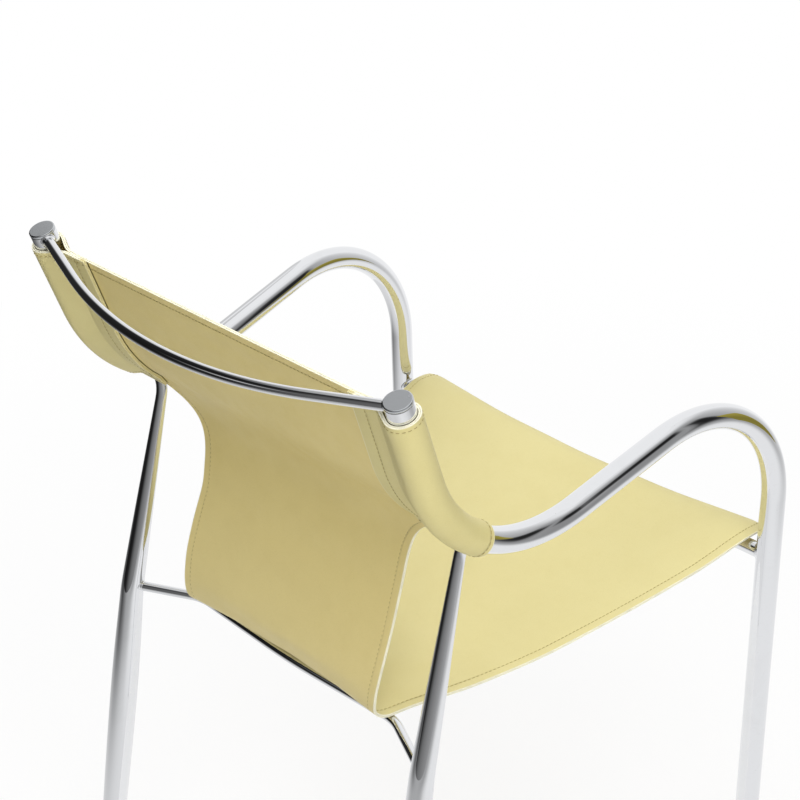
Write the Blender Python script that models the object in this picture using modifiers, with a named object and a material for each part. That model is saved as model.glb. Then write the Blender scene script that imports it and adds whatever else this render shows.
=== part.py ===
"""Leather sling armchair on a bent chromed tube frame.

Units are metres, +Z is up, the chair faces -Y, and X = 0 is the plane of symmetry.
The origin lies on the floor under the middle of the overall width and depth.
Depths called "back" are measured rearwards from the line through the two front legs.
"""
import math

import bmesh
import bpy
import numpy as np
from mathutils import Matrix, Vector

# Overall placing
DEPTH_MIDDLE_BACK = 0.25284
CLEAR = 0.0003

# Side frames: one bent tube each, front leg, arm hump, S-bend and back post
TUBE_D = 0.025
TUBE_WALL = 0.002
FRONT_LEG_HALF = 0.2651
ARM_CORNER_Z = 0.691
ARM_BEND_R = 0.1389
POST_CORNER_INSET = 0.0309
POST_CORNER_BACK = 0.4134
POST_CORNER_Z = 0.5957
POST_BEND_R = 0.1505
POST_TOP_INSET = 0.0271
POST_TOP_BACK = 0.4846
POST_TOP_Z = 0.8191
TUBE_SIDES_LEVEL = 7
BEND_STEP_DEG = 7.0
TOP_ROD_STEP_DEG = 2.0

# Discs closing the post tops
DISC_T = 0.003
DISC_EDGE = 0.0004
SPIGOT_L = 0.008

# Rear legs: tapered tubes
REAR_LEG_WALL = 0.0016
LEG_TOP_D = 0.0115
LEG_KNEE_D = 0.0236
LEG_BELLY_D = 0.0285
LEG_BELLY_Z = 0.262
LEG_FOOT_D = 0.0220
LEG_TOP_INSET = 0.0253
LEG_TOP_BACK = 0.3900
LEG_TOP_Z = 0.6110
LEG_KNEE_SPREAD = 0.0056
LEG_KNEE_BACK = 0.4468
LEG_KNEE_Z = 0.4070
LEG_FOOT_SPREAD = 0.0112
LEG_FOOT_BACK = 0.5243
LEG_SEAT_DROP = 0.0070
LEG_SEAT_FROM_TOP = 0.2080
LEG_TOP_LEAD = 0.0300

# Cross members
TOP_ROD_D = 0.0100
TOP_ROD_DROP = 0.0082
TOP_ROD_CORNER_BACK = 0.0781
TOP_ROD_CORNER_DOWN = 0.0245
TOP_ROD_BEND_R = 0.4925
FRONT_BAR_D = 0.0160
FRONT_BAR_Z = 0.4488
REAR_BAR_D = 0.0100
REAR_BAR_Z = 0.4080
REAR_BAR_KNEE_HALF = 0.1420
REAR_BAR_KNEE_BACK = 0.4105
REAR_BAR_MID_BACK = 0.4165
REAR_BAR_BEND_R = 0.0500
REAR_BAR_BOW_R = 0.8000

# Glides in the leg ends
GLIDE_H = 0.0060
GLIDE_EDGE = 0.0020
GLIDE_PLUG_L = 0.0200
GLIDE_PLUG_TAPER = 0.0010
REAR_PAD_L = 0.0120

# Leather sling: two hides, face and lining
HIDE_T = 0.0014
HIDE_GAP = 0.0003
SLEEVE_CLEAR = 0.0005
SLEEVE_TOP = 0.0158
PANEL_TOP_DROP = 0.0022
PANEL_STATION = 5
SLEEVE_STATION = 6
SEAM_INBOARD = 0.0280
FLAP_INBOARD = 0.0600
FLAP_GAP = 0.0006
PANEL_SHIFT_TOP = -0.0022
PANEL_SHIFT_END = 0.0008
SLEEVE_OPEN_REAR_DEG = 71.0
SLEEVE_OPEN_FRONT_DEG = 58.0
WAIST_HALF = 0.1420
WAIST_BACK = 0.3860
WAIST_Z = 0.5970
FOLD_R = 0.0180
FOLD_BEHIND_BAR = 0.0040
FOLD_EDGE_BACK = 0.0070
SEAT_SIDE_GAP = 0.0091
SEAT_SAG = 0.0060
SEAT_TOP_BACK = 0.0030
ROLL_MID = 0.0065
ROLL_BOW = 0.0145
HEM_BACK = 0.0700
HEM_MEET = 0.0500
HEM_INSET = 0.0435
HEM_FLAT_BACK = 0.0060

# Colours
CHROME_COLOR = (0.72, 0.73, 0.75, 1.0)
DISC_COLOR = (0.60, 0.62, 0.65, 1.0)
FACE_COLOR = (0.72, 0.64, 0.36, 1.0)
LINING_COLOR = (0.84, 0.80, 0.62, 1.0)
GLIDE_COLOR = (0.06, 0.06, 0.065, 1.0)

# Sizes that follow from the ones above
TUBE_R = TUBE_D / 2
POST_CORNER_HALF = FRONT_LEG_HALF - POST_CORNER_INSET
POST_TOP_HALF = FRONT_LEG_HALF - POST_TOP_INSET
LEG_TOP_HALF = POST_CORNER_HALF - LEG_TOP_INSET
LEG_KNEE_HALF = LEG_TOP_HALF + LEG_KNEE_SPREAD
LEG_FOOT_HALF = LEG_KNEE_HALF + LEG_FOOT_SPREAD
SEAT_FRONT_HALF = FRONT_LEG_HALF - TUBE_R - SEAT_SIDE_GAP
HEM_HALF = SEAT_FRONT_HALF - HEM_INSET
SHEET_T = 2 * HIDE_T + HIDE_GAP
WRAP_R = TUBE_R + SLEEVE_CLEAR + SHEET_T / 2
FRONT_ROLL_R = FRONT_BAR_D / 2 + CLEAR + SHEET_T / 2
SEAT_REAR_Z = REAR_BAR_Z + REAR_BAR_D / 2 + CLEAR + SHEET_T / 2
SEAT_FRONT_Z = FRONT_BAR_Z + FRONT_ROLL_R
FOLD_BACK = REAR_BAR_KNEE_BACK + FOLD_BEHIND_BAR
FOLD_Z = SEAT_REAR_Z + FOLD_R


def place(half, back, z):
    """Point from its half width, its depth behind the front legs and its height."""
    return Vector((half, back - DEPTH_MIDDLE_BACK, z))


def clear_scene():
    for obj in list(bpy.data.objects):
        bpy.data.objects.remove(obj, do_unlink=True)
    for coll in list(bpy.data.collections):
        bpy.data.collections.remove(coll)


def collection(name):
    coll = bpy.data.collections.new(name)
    bpy.context.scene.collection.children.link(coll)
    return coll


def material(name, color, metallic, roughness):
    mat = bpy.data.materials.new(name)
    mat.use_nodes = True
    bsdf = mat.node_tree.nodes["Principled BSDF"]
    bsdf.inputs["Base Color"].default_value = color
    bsdf.inputs["Metallic"].default_value = metallic
    bsdf.inputs["Roughness"].default_value = roughness
    mat.diffuse_color = color
    return mat


def fillet_path(corners, radii, step_deg=BEND_STEP_DEG):
    """Polyline through the corners with a circular arc of the given radius at each inner corner."""
    out = [corners[0].copy()]
    for i in range(1, len(corners) - 1):
        corner = corners[i]
        to_prev = (corners[i - 1] - corner).normalized()
        to_next = (corners[i + 1] - corner).normalized()
        half = to_prev.angle(to_next) / 2
        setback = radii[i - 1] / math.tan(half)
        centre = corner + (to_prev + to_next).normalized() * (radii[i - 1] / math.sin(half))
        start = corner + to_prev * setback - centre
        end = corner + to_next * setback - centre
        turn = start.angle(end)
        steps = max(2, math.ceil(math.degrees(turn) / step_deg))
        for k in range(steps + 1):
            f = k / steps
            arc = (start * math.sin((1 - f) * turn) + end * math.sin(f * turn)) / math.sin(turn)
            out.append(centre + arc)
    out.append(corners[-1].copy())
    return out


def tube_mesh(name, points, radii, capped, level):
    """Mesh of a round tube along the points, one radius for each point."""
    curve = bpy.data.curves.new(name, "CURVE")
    curve.dimensions = "3D"
    curve.bevel_depth = 1.0
    curve.bevel_resolution = level
    curve.use_fill_caps = capped
    spline = curve.splines.new("POLY")
    spline.points.add(len(points) - 1)
    for point, position, radius in zip(spline.points, points, radii):
        point.co = (*position, 1.0)
        point.radius = radius
    temp = bpy.data.objects.new(name + "_path", curve)
    bpy.context.scene.collection.objects.link(temp)
    evaluated = temp.evaluated_get(bpy.context.evaluated_depsgraph_get())
    mesh = bpy.data.meshes.new_from_object(evaluated)
    bpy.data.objects.remove(temp, do_unlink=True)
    bpy.data.curves.remove(curve)
    bm = bmesh.new()
    bm.from_mesh(mesh)
    bmesh.ops.remove_doubles(bm, verts=bm.verts, dist=0.00001)
    bmesh.ops.recalc_face_normals(bm, faces=bm.faces)
    bm.to_mesh(mesh)
    bm.free()
    mesh.name = name
    return mesh


def add_object(name, mesh, coll, mat=None, smooth=True):
    obj = bpy.data.objects.new(name, mesh)
    coll.objects.link(obj)
    if mat is not None:
        mesh.materials.clear()
        mesh.materials.append(mat)
    for poly in mesh.polygons:
        poly.use_smooth = smooth
    return obj


def add_cutter(name, mesh, coll):
    obj = add_object(name, mesh, coll, smooth=False)
    obj.hide_render = True
    obj.display_type = "WIRE"
    return obj


def cut(obj, cutter):
    mod = obj.modifiers.new("seat_" + cutter.name, "BOOLEAN")
    mod.operation = "DIFFERENCE"
    mod.solver = "EXACT"
    mod.object = cutter


def shell(obj, thickness, offset):
    mod = obj.modifiers.new("wall", "SOLIDIFY")
    mod.thickness = thickness
    mod.offset = offset
    mod.use_even_offset = True


def side_path(sign):
    """Centreline of a side frame from the floor end of the front leg to the post top."""
    corners = [
        place(sign * FRONT_LEG_HALF, 0.0, GLIDE_H + CLEAR),
        place(sign * FRONT_LEG_HALF, 0.0, ARM_CORNER_Z),
        place(sign * POST_CORNER_HALF, POST_CORNER_BACK, POST_CORNER_Z),
        place(sign * POST_TOP_HALF, POST_TOP_BACK, POST_TOP_Z),
    ]
    return fillet_path(corners, [ARM_BEND_R, POST_BEND_R])


def shortened(path, length):
    """Path with its last straight run shortened by the given length."""
    out = [p.copy() for p in path]
    out[-1] = out[-1] + (out[-2] - out[-1]).normalized() * length
    return out


def turned(name, profile, coll, mat, steps):
    """Solid of revolution about Z from a profile of (radius, height) pairs, given from top to bottom."""
    mesh = bpy.data.meshes.new(name)
    verts = [(r, 0.0, z) for r, z in profile]
    mesh.from_pydata(verts, [(i, i + 1) for i in range(len(verts) - 1)], [])
    obj = add_object(name, mesh, coll, mat)
    mod = obj.modifiers.new("turn", "SCREW")
    mod.axis = "Z"
    mod.angle = 2 * math.pi
    mod.steps = steps
    mod.render_steps = steps
    mod.use_merge_vertices = True
    mod.merge_threshold = 0.00005
    return obj


def aim(obj, origin, direction):
    """Place the object at origin with its local Z along the direction."""
    turn = Vector((0, 0, 1)).rotation_difference(direction.normalized())
    obj.matrix_world = Matrix.Translation(origin) @ turn.to_matrix().to_4x4()


def build_side(sign, side, parts, cutters, mats):
    """Side frame tube, post disc and front glide of one side; returns the seat cutter of the tube."""
    path = side_path(sign)
    tube_line = shortened(path, DISC_T + CLEAR)
    mesh = tube_mesh("side_frame_" + side, tube_line, [TUBE_R] * len(tube_line), False, TUBE_SIDES_LEVEL)
    frame = add_object("side_frame_" + side, mesh, parts, mats["chrome"])
    shell(frame, TUBE_WALL, -1.0)

    seat_mesh = tube_mesh("arm_seat_" + side, path, [TUBE_R + CLEAR] * len(path), True, TUBE_SIDES_LEVEL)
    seat = add_cutter("arm_seat_" + side, seat_mesh, cutters)

    bore = TUBE_R - TUBE_WALL - CLEAR
    top = path[-1]
    up = (path[-1] - path[-2]).normalized()
    profile = [
        (0.0, 0.0),
        (TUBE_R - DISC_EDGE, 0.0),
        (TUBE_R, -DISC_EDGE),
        (TUBE_R, -DISC_T),
        (bore, -DISC_T),
        (bore, -DISC_T - SPIGOT_L),
        (0.0, -DISC_T - SPIGOT_L),
    ]
    disc = turned("post_disc_" + side, profile, parts, mats["disc"], 32)
    aim(disc, top, up)

    glide = turned("front_glide_" + side, glide_profile(TUBE_R, bore, GLIDE_H), parts, mats["glide"], 24)
    aim(glide, place(sign * FRONT_LEG_HALF, 0.0, 0.0), Vector((0, 0, 1)))
    return seat


def glide_profile(pad_r, plug_r, pad_h):
    return [
        (0.0, pad_h + GLIDE_PLUG_L),
        (plug_r - GLIDE_PLUG_TAPER, pad_h + GLIDE_PLUG_L),
        (plug_r, pad_h + GLIDE_PLUG_L - 2 * GLIDE_PLUG_TAPER),
        (plug_r, pad_h),
        (pad_r, pad_h),
        (pad_r, GLIDE_EDGE),
        (pad_r - GLIDE_EDGE * 0.3, GLIDE_EDGE * 0.3),
        (pad_r - GLIDE_EDGE, 0.0),
        (0.0, 0.0),
    ]


def point_from_top(path, distance):
    """Point on the path at the given distance back from its end, and the direction leaving the end."""
    left = distance
    for a, b in zip(path[::-1][:-1], path[::-1][1:]):
        step = (b - a).length
        if left <= step:
            return a + (b - a) * (left / step), (b - a).normalized()
        left -= step
    return path[0], (path[0] - path[1]).normalized()


def rear_leg_line(sign):
    """Centreline and radii of a tapered rear leg, from the arm tube down to the foot."""
    seat_point, along = point_from_top(side_path(sign), LEG_SEAT_FROM_TOP)
    top = place(sign * LEG_TOP_HALF, LEG_TOP_BACK, LEG_TOP_Z)
    knee = place(sign * LEG_KNEE_HALF, LEG_KNEE_BACK, LEG_KNEE_Z)
    foot = place(sign * LEG_FOOT_HALF, LEG_FOOT_BACK, 0.0)
    run = (foot - knee).normalized()
    foot = foot - run * ((GLIDE_H + CLEAR) / -run.z)
    joint = seat_point + Vector((0, 0, -LEG_SEAT_DROP))
    rise = (top - knee).normalized()
    bend = []
    for k in range(7):
        f = k / 6
        lead = top + rise * LEG_TOP_LEAD
        bend.append(joint * (1 - f) ** 2 + lead * (2 * f * (1 - f)) + top * f ** 2)
    points = bend + [top.lerp(knee, f) for f in (0.2, 0.4, 0.6, 0.8, 0.93)]
    lower = [knee.lerp(foot, f) for f in (0.03, 0.12, 0.24, 0.36, 0.5, 0.7, 0.85, 1.0)]
    points = points + lower
    heights = [foot.z, LEG_BELLY_Z, LEG_KNEE_Z, LEG_TOP_Z]
    widths = [LEG_FOOT_D, LEG_BELLY_D, LEG_KNEE_D, LEG_TOP_D]
    radii = [float(np.interp(p.z, heights, widths)) / 2 for p in points]
    return points, radii


def build_rear_leg(sign, side, parts, cutters, mats, arm_seat, floor):
    """Tapered rear leg seated on the arm tube, with its glide; returns the seat cutter of the leg."""
    points, radii = rear_leg_line(sign)
    mesh = tube_mesh("rear_leg_" + side, points, radii, False, 6)
    leg = add_object("rear_leg_" + side, mesh, parts, mats["chrome"])
    shell(leg, REAR_LEG_WALL, -1.0)
    cut(leg, arm_seat)

    wide = [r + CLEAR for r in radii]
    seat_mesh = tube_mesh("leg_seat_" + side, points, wide, True, 6)
    seat = add_cutter("leg_seat_" + side, seat_mesh, cutters)

    axis = (points[-2] - points[-1]).normalized()
    pad_r = LEG_FOOT_D / 2
    plug_r = pad_r - REAR_LEG_WALL - CLEAR
    glide = turned("rear_glide_" + side, glide_profile(pad_r, plug_r, REAR_PAD_L), parts, mats["glide"], 24)
    aim(glide, points[-1] - axis * (REAR_PAD_L + CLEAR), axis)
    cut(glide, floor)
    return seat


def build_top_rod(parts, mats, seats):
    """Rod between the post tops: straight ends and one wide bend to the rear and down."""
    top = point_from_top(side_path(1), TOP_ROD_DROP)[0]
    corner = Vector((0.0, top.y + TOP_ROD_CORNER_BACK, top.z - TOP_ROD_CORNER_DOWN))
    ends = [Vector((sign * top.x, top.y, top.z)) for sign in (-1, 1)]
    points = fillet_path([ends[0], corner, ends[1]], [TOP_ROD_BEND_R], TOP_ROD_STEP_DEG)
    mesh = tube_mesh("top_rod", points, [TOP_ROD_D / 2] * len(points), True, 4)
    rod = add_object("top_rod", mesh, parts, mats["chrome"])
    for seat in seats:
        cut(rod, seat)


def build_bars(parts, mats, arm_seats, leg_seats):
    """Straight front bar and cranked rear bar, their ends coped to the legs."""
    ends = [place(s * FRONT_LEG_HALF, 0.0, FRONT_BAR_Z) for s in (-1, 1)]
    mesh = tube_mesh("front_bar", ends, [FRONT_BAR_D / 2] * 2, True, 6)
    front = add_object("front_bar", mesh, parts, mats["chrome"])
    for seat in arm_seats:
        cut(front, seat)

    fall = (LEG_KNEE_Z - REAR_BAR_Z) / LEG_KNEE_Z
    end_half = LEG_KNEE_HALF + (LEG_FOOT_HALF - LEG_KNEE_HALF) * fall
    end_back = LEG_KNEE_BACK + (LEG_FOOT_BACK - LEG_KNEE_BACK) * fall
    corners = [
        place(-end_half, end_back, REAR_BAR_Z),
        place(-REAR_BAR_KNEE_HALF, REAR_BAR_KNEE_BACK, REAR_BAR_Z),
        place(0.0, REAR_BAR_MID_BACK, REAR_BAR_Z),
        place(REAR_BAR_KNEE_HALF, REAR_BAR_KNEE_BACK, REAR_BAR_Z),
        place(end_half, end_back, REAR_BAR_Z),
    ]
    line = fillet_path(corners, [REAR_BAR_BEND_R, REAR_BAR_BOW_R, REAR_BAR_BEND_R])
    mesh = tube_mesh("rear_bar", line, [REAR_BAR_D / 2] * len(line), True, 4)
    rear = add_object("rear_bar", mesh, parts, mats["chrome"])
    for seat in leg_seats:
        cut(rear, seat)


def bend_stations():
    """Distances from the post top to the stations of the post bend, nearest first."""
    path = side_path(1)[::-1]
    run = 0.0
    out = []
    for a, b in zip(path[:-1], path[1:]):
        run += (b - a).length
        out.append(run)
    return out


def sleeve_frame(distance):
    """Tube centre on the +X side at a distance from the post top, with its rearward normal."""
    path = side_path(1)
    centre = point_from_top(path, distance)[0]
    down = point_from_top(path, distance + 0.002)[0] - point_from_top(path, distance - 0.002)[0]
    rear = Vector((0.0, -down.z, down.y)).normalized()
    return centre, rear


def wrap_arc(a0, a1, count):
    """Radius and angle of points round a tube; inner points stand out so that the flats clear it."""
    step = (a1 - a0) / (count - 1)
    out = []
    for k in range(count):
        ends = k in (0, count - 1)
        radius = WRAP_R if ends else WRAP_R / math.cos(step / 2)
        out.append((radius, a0 + step * k))
    return out


def panel_shift(distance):
    """Rearward shift of the panel from the tube centre, growing towards the waist."""
    return PANEL_SHIFT_TOP + (PANEL_SHIFT_END - PANEL_SHIFT_TOP) * (distance / PANEL_END) ** 2


def wrap_angles(distance):
    """Angles where the sheet leaves the wrap circle at the rear and at the front."""
    shift = panel_shift(distance)
    lift = shift + SHEET_T + FLAP_GAP
    rear = math.atan2(lift, SEAM_INBOARD) + math.acos(WRAP_R / math.hypot(SEAM_INBOARD, lift))
    front = math.atan2(shift, SEAM_INBOARD) - math.acos(WRAP_R / math.hypot(SEAM_INBOARD, shift))
    return rear, front + 2 * math.pi


def sleeve_section(distance, arc_count):
    """Half section of the sling across one post, listed from the flap edge to the seam line.

    Positions are (inboard, rearward) from the tube centre. The sheet runs from the flap along the rear,
    touches the wrap circle on its tangent, goes round the outside and comes back on the front tangent.
    """
    shift = panel_shift(distance)
    lift = shift + SHEET_T + FLAP_GAP
    rear, front = wrap_angles(distance)
    section = [(FLAP_INBOARD, lift), (SEAM_INBOARD, lift)]
    for radius, angle in wrap_arc(rear, front, arc_count):
        section.append((radius * math.cos(angle), radius * math.sin(angle)))
    section.append((SEAM_INBOARD, shift))
    return section


def smooth_curve(points, count):
    """Points spread evenly along a Catmull-Rom curve through the given points."""
    pts = np.array(points, float)
    pts = np.vstack([2 * pts[0] - pts[1], pts, 2 * pts[-1] - pts[-2]])
    fine = []
    for i in range(1, len(pts) - 2):
        t = np.linspace(0, 1, 24, endpoint=False)[:, None]
        a, b, c, d = pts[i - 1], pts[i], pts[i + 1], pts[i + 2]
        fine.append(0.5 * (2 * b + (c - a) * t + (2 * a - 5 * b + 4 * c - d) * t ** 2
                           + (3 * b - a - 3 * c + d) * t ** 3))
    fine = np.vstack(fine + [pts[-2][None]])
    run = np.r_[0, np.cumsum(np.linalg.norm(np.diff(fine[:, :2], axis=0), axis=1))]
    want = np.linspace(0, run[-1], count)
    return np.column_stack([np.interp(want, run, fine[:, k]) for k in range(fine.shape[1])])


def lower_rows():
    """Rows of the sling below the sleeves: (depth, height, half width, edge weight, roll weight)."""
    centre, rear = sleeve_frame(PANEL_END)
    start = centre + rear * PANEL_SHIFT_END
    start_back = start.y + DEPTH_MIDDLE_BACK
    start_half = centre.x - SEAM_INBOARD
    end_back = FOLD_BACK + FOLD_R * 0.933
    end_z = FOLD_Z + FOLD_R * 0.778
    waist = [(start_back, start.z, start_half)]
    # Shares of the way down, of the way in depth and of the narrowing
    upper = ((0.149, 0.259, 0.182), (0.316, 0.549, 0.386), (0.516, 0.839, 0.616), (0.750, 0.996, 0.818),
             (1.0, 1.0, 0.934))
    for down, inward, narrow in upper:
        waist.append((start_back + (WAIST_BACK - start_back) * inward, start.z + (WAIST_Z - start.z) * down,
                      start_half + (WAIST_HALF - start_half) * narrow))
    # Shares of the way down, of the way in depth and of the waist's half width
    lower = ((0.113, 0.055, 1.005), (0.246, 0.152, 0.995), (0.380, 0.269, 0.989), (0.586, 0.541, 1.0),
             (0.813, 0.828, 1.0), (1.0, 1.0, 0.986))
    for down, outward, share in lower:
        waist.append((WAIST_BACK + (end_back - WAIST_BACK) * outward, WAIST_Z + (end_z - WAIST_Z) * down,
                      WAIST_HALF * share))
    rows = [(b, z, h, 0.0, 0.0) for b, z, h in smooth_curve(waist, 11)[1:]]
    for k in range(7):
        angle = math.radians(-4.0 - 80.0 * k / 6)
        half = WAIST_HALF * (0.965 + 0.035 * abs(k / 6 - 0.35))
        rows.append((FOLD_BACK + FOLD_R * math.cos(angle), FOLD_Z + FOLD_R * math.sin(angle), half, 1.0, 0.0))
    # Shares of the seat's depth from the front, and of its widening from fold to front
    fold_half = WAIST_HALF * 0.972
    depths = (0.0, 0.169, 0.355, 0.524, 0.639, 0.796, 0.893, 1.0)
    widths = (1.0, 0.886, 0.744, 0.607, 0.507, 0.322, 0.171, 0.0)
    rows_at = (0.929, 0.844, 0.724, 0.579, 0.434, 0.290, 0.145, 0.060)
    seat = [(FOLD_BACK * f, float(np.interp(f, depths, widths))) for f in rows_at]
    seat.append((SEAT_TOP_BACK, 1.0))
    for back, wide in seat:
        rows.append((back, seat_height(back), fold_half + (SEAT_FRONT_HALF - fold_half) * wide, 0.0, 0.0))
    for k in range(9):
        angle = math.radians(90.0 + 22.5 * k)
        half = SEAT_FRONT_HALF + (HEM_HALF - SEAT_FRONT_HALF) * max(0.0, (k - 2) / 6)
        rows.append((FRONT_ROLL_R * math.cos(angle), FRONT_BAR_Z + FRONT_ROLL_R * math.sin(angle),
                     half, 0.0, 1.0))
    rows.append((HEM_FLAT_BACK, FRONT_BAR_Z - FRONT_ROLL_R, HEM_HALF, 0.0, 0.0))
    under = SHEET_T + FLAP_GAP
    for back, roll in ((HEM_MEET, 0.0), (HEM_BACK, 0.0)):
        rows.append((back, seat_height(back) - under, HEM_HALF, 0.0, roll))
    return rows


def seat_height(back):
    """Height of the seat sheet: a straight run from rear bar to front bar with a shallow sag."""
    f = (back - SEAT_TOP_BACK) / (FOLD_BACK - SEAT_TOP_BACK)
    return SEAT_FRONT_Z + (SEAT_REAR_Z - SEAT_FRONT_Z) * f - SEAT_SAG * math.sin(math.pi * f)


def sling_mesh(name):
    """Middle surface of the sling: back with sleeves and flaps, waist, fold, seat and front loop.

    Full rows run from one flap edge across both sleeves to the other flap edge. The sleeve columns go on
    past the panel, the panel columns go on down the waist and over the seat.
    """
    arc_count = 11
    fractions = (1.0, 0.68, 0.34, 0.0, -0.34, -0.68, -1.0)
    verts = []
    faces = []

    def put(x, y, z):
        verts.append((x, y, z))
        return len(verts) - 1

    def bridge(upper, lower):
        for i in range(len(upper) - 1):
            faces.append((upper[i], upper[i + 1], lower[i + 1], lower[i]))

    full_at = [SLEEVE_TOP, STATIONS[0] / 2] + STATIONS[:PANEL_STATION + 1]
    previous = None
    for distance in full_at:
        centre, rear = sleeve_frame(distance)
        section = sleeve_section(distance, arc_count)
        left = []
        for inboard, back in section:
            spot = centre + rear * back
            left.append(put(spot.x - inboard, spot.y, spot.z))
        seam_half = centre.x - SEAM_INBOARD
        if distance == SLEEVE_TOP:
            centre, rear = sleeve_frame(distance + PANEL_TOP_DROP)
        spot = centre + rear * section[-1][1]
        middle = [put(seam_half * f, spot.y, spot.z) for f in fractions[1:-1]]
        right = [put(-verts[i][0], verts[i][1], verts[i][2]) for i in reversed(left)]
        row = left + middle + right
        if previous is not None:
            bridge(previous, row)
        previous = row
    side = len(section)
    panel = previous[side - 1:len(previous) - side + 1]
    sleeve_left = previous[2:2 + arc_count]
    sleeve_right = previous[len(previous) - 2 - arc_count:len(previous) - 2]

    rear_edge, front_edge = wrap_angles(PANEL_END)
    ends = STATIONS[PANEL_STATION + 1:SLEEVE_STATION + 1]
    for k, distance in enumerate(ends):
        f = (k + 1) / len(ends)
        centre, rear = sleeve_frame(distance)
        start = rear_edge + (math.radians(SLEEVE_OPEN_REAR_DEG) - rear_edge) * f
        stop = front_edge + (math.radians(360.0 - SLEEVE_OPEN_FRONT_DEG) - front_edge) * f
        left = []
        right = []
        for radius, angle in wrap_arc(start, stop, arc_count):
            spot = centre + rear * (radius * math.sin(angle))
            left.append(put(spot.x - radius * math.cos(angle), spot.y, spot.z))
        for radius, angle in wrap_arc(stop, start, arc_count):
            spot = centre + rear * (radius * math.sin(angle))
            right.append(put(-(spot.x - radius * math.cos(angle)), spot.y, spot.z))
        bridge(sleeve_left, left)
        bridge(sleeve_right, right)
        sleeve_left = left
        sleeve_right = right

    for back, height, half, edge, roll in lower_rows():
        row = []
        for f in fractions:
            x = half * f
            bow = edge * FOLD_EDGE_BACK * (f * f - 1.0)
            roll_out = -roll * (ROLL_MID + ROLL_BOW * f * f)
            row.append(put(x, back + bow + roll_out - DEPTH_MIDDLE_BACK, height))
        bridge(panel, row)
        panel = row

    mesh = bpy.data.meshes.new(name)
    mesh.from_pydata(verts, [], faces)
    mesh.update()
    return mesh


def build_sling(parts, mats):
    """Face hide on the sitter's side of the middle surface and lining hide on the other side."""
    for name, side, mat in (("sling_face", 1.0, "face"), ("sling_lining", -1.0, "lining")):
        obj = add_object(name, sling_mesh(name), parts, mats[mat])
        push = obj.modifiers.new("half_gap", "DISPLACE")
        push.direction = "NORMAL"
        push.mid_level = 0.0
        push.strength = side * HIDE_GAP / 2
        shell(obj, HIDE_T, side)


def build():
    clear_scene()
    parts = collection("sling_armchair")
    cutters = collection("seat_cutters")
    mats = {
        "chrome": material("chrome_tube", CHROME_COLOR, 1.0, 0.08),
        "disc": material("polished_disc", DISC_COLOR, 1.0, 0.18),
        "face": material("cream_hide", FACE_COLOR, 0.0, 0.55),
        "lining": material("pale_hide", LINING_COLOR, 0.0, 0.65),
        "glide": material("dark_plastic", GLIDE_COLOR, 0.0, 0.5),
    }
    bpy.ops.mesh.primitive_cube_add(size=2.0, location=(0.0, 0.0, -1.0))
    floor = bpy.context.object
    floor.name = "floor_cutter"
    for coll in list(floor.users_collection):
        coll.objects.unlink(floor)
    cutters.objects.link(floor)
    floor.hide_render = True
    floor.display_type = "WIRE"

    arm_seats = []
    leg_seats = []
    for sign, side in ((1, "left"), (-1, "right")):
        arm_seat = build_side(sign, side, parts, cutters, mats)
        arm_seats.append(arm_seat)
        leg_seats.append(build_rear_leg(sign, side, parts, cutters, mats, arm_seat, floor))
    build_top_rod(parts, mats, arm_seats)
    build_bars(parts, mats, arm_seats, leg_seats)
    build_sling(parts, mats)


STATIONS = bend_stations()
PANEL_END = STATIONS[PANEL_STATION]
build()
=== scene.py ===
"""Dressed model of a leather sling armchair on a bent chromed tube frame.

The chair faces -Y, +Z is up, and X = 0 is its plane of symmetry. All sizes are metres.
Every surface is a grid of two parameters, worked out with numpy as whole arrays.
"""
import math

import bpy
import numpy as np
from bpy.props import FloatProperty, FloatVectorProperty, PointerProperty
from mathutils import Matrix, Vector


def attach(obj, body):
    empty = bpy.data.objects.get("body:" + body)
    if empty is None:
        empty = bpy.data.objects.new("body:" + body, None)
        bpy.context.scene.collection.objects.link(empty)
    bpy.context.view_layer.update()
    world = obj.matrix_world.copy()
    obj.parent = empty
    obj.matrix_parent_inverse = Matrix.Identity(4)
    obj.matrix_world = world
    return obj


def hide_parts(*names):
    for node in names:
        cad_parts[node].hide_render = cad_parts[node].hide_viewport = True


bl_info = {
    "name": "Sling Armchair",
    "version": (1, 0, 0),
    "blender": (4, 5, 0),
    "location": "View3D > Sidebar > Armchair",
    "description": "Builds the tubes, sling, sewing and stage of a leather sling armchair",
    "category": "Object",
}

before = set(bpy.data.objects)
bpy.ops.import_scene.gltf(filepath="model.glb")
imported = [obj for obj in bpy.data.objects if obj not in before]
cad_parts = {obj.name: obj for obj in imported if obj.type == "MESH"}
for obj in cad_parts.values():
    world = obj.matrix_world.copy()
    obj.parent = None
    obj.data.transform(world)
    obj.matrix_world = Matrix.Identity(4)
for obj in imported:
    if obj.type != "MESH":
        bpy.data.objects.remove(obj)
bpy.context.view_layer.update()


# Settings

def length(name, text, value):
    return FloatProperty(name=name, description=text, default=value, subtype="DISTANCE", unit="LENGTH",
                         precision=5)


def spot(name, text, value):
    return FloatVectorProperty(name=name, description=text, default=value, size=3, subtype="XYZ",
                               unit="LENGTH", precision=5)


def tint(name, text, value):
    return FloatVectorProperty(name=name, description=text, default=value, size=3, subtype="COLOR",
                               min=0.0, max=1.0)


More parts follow.
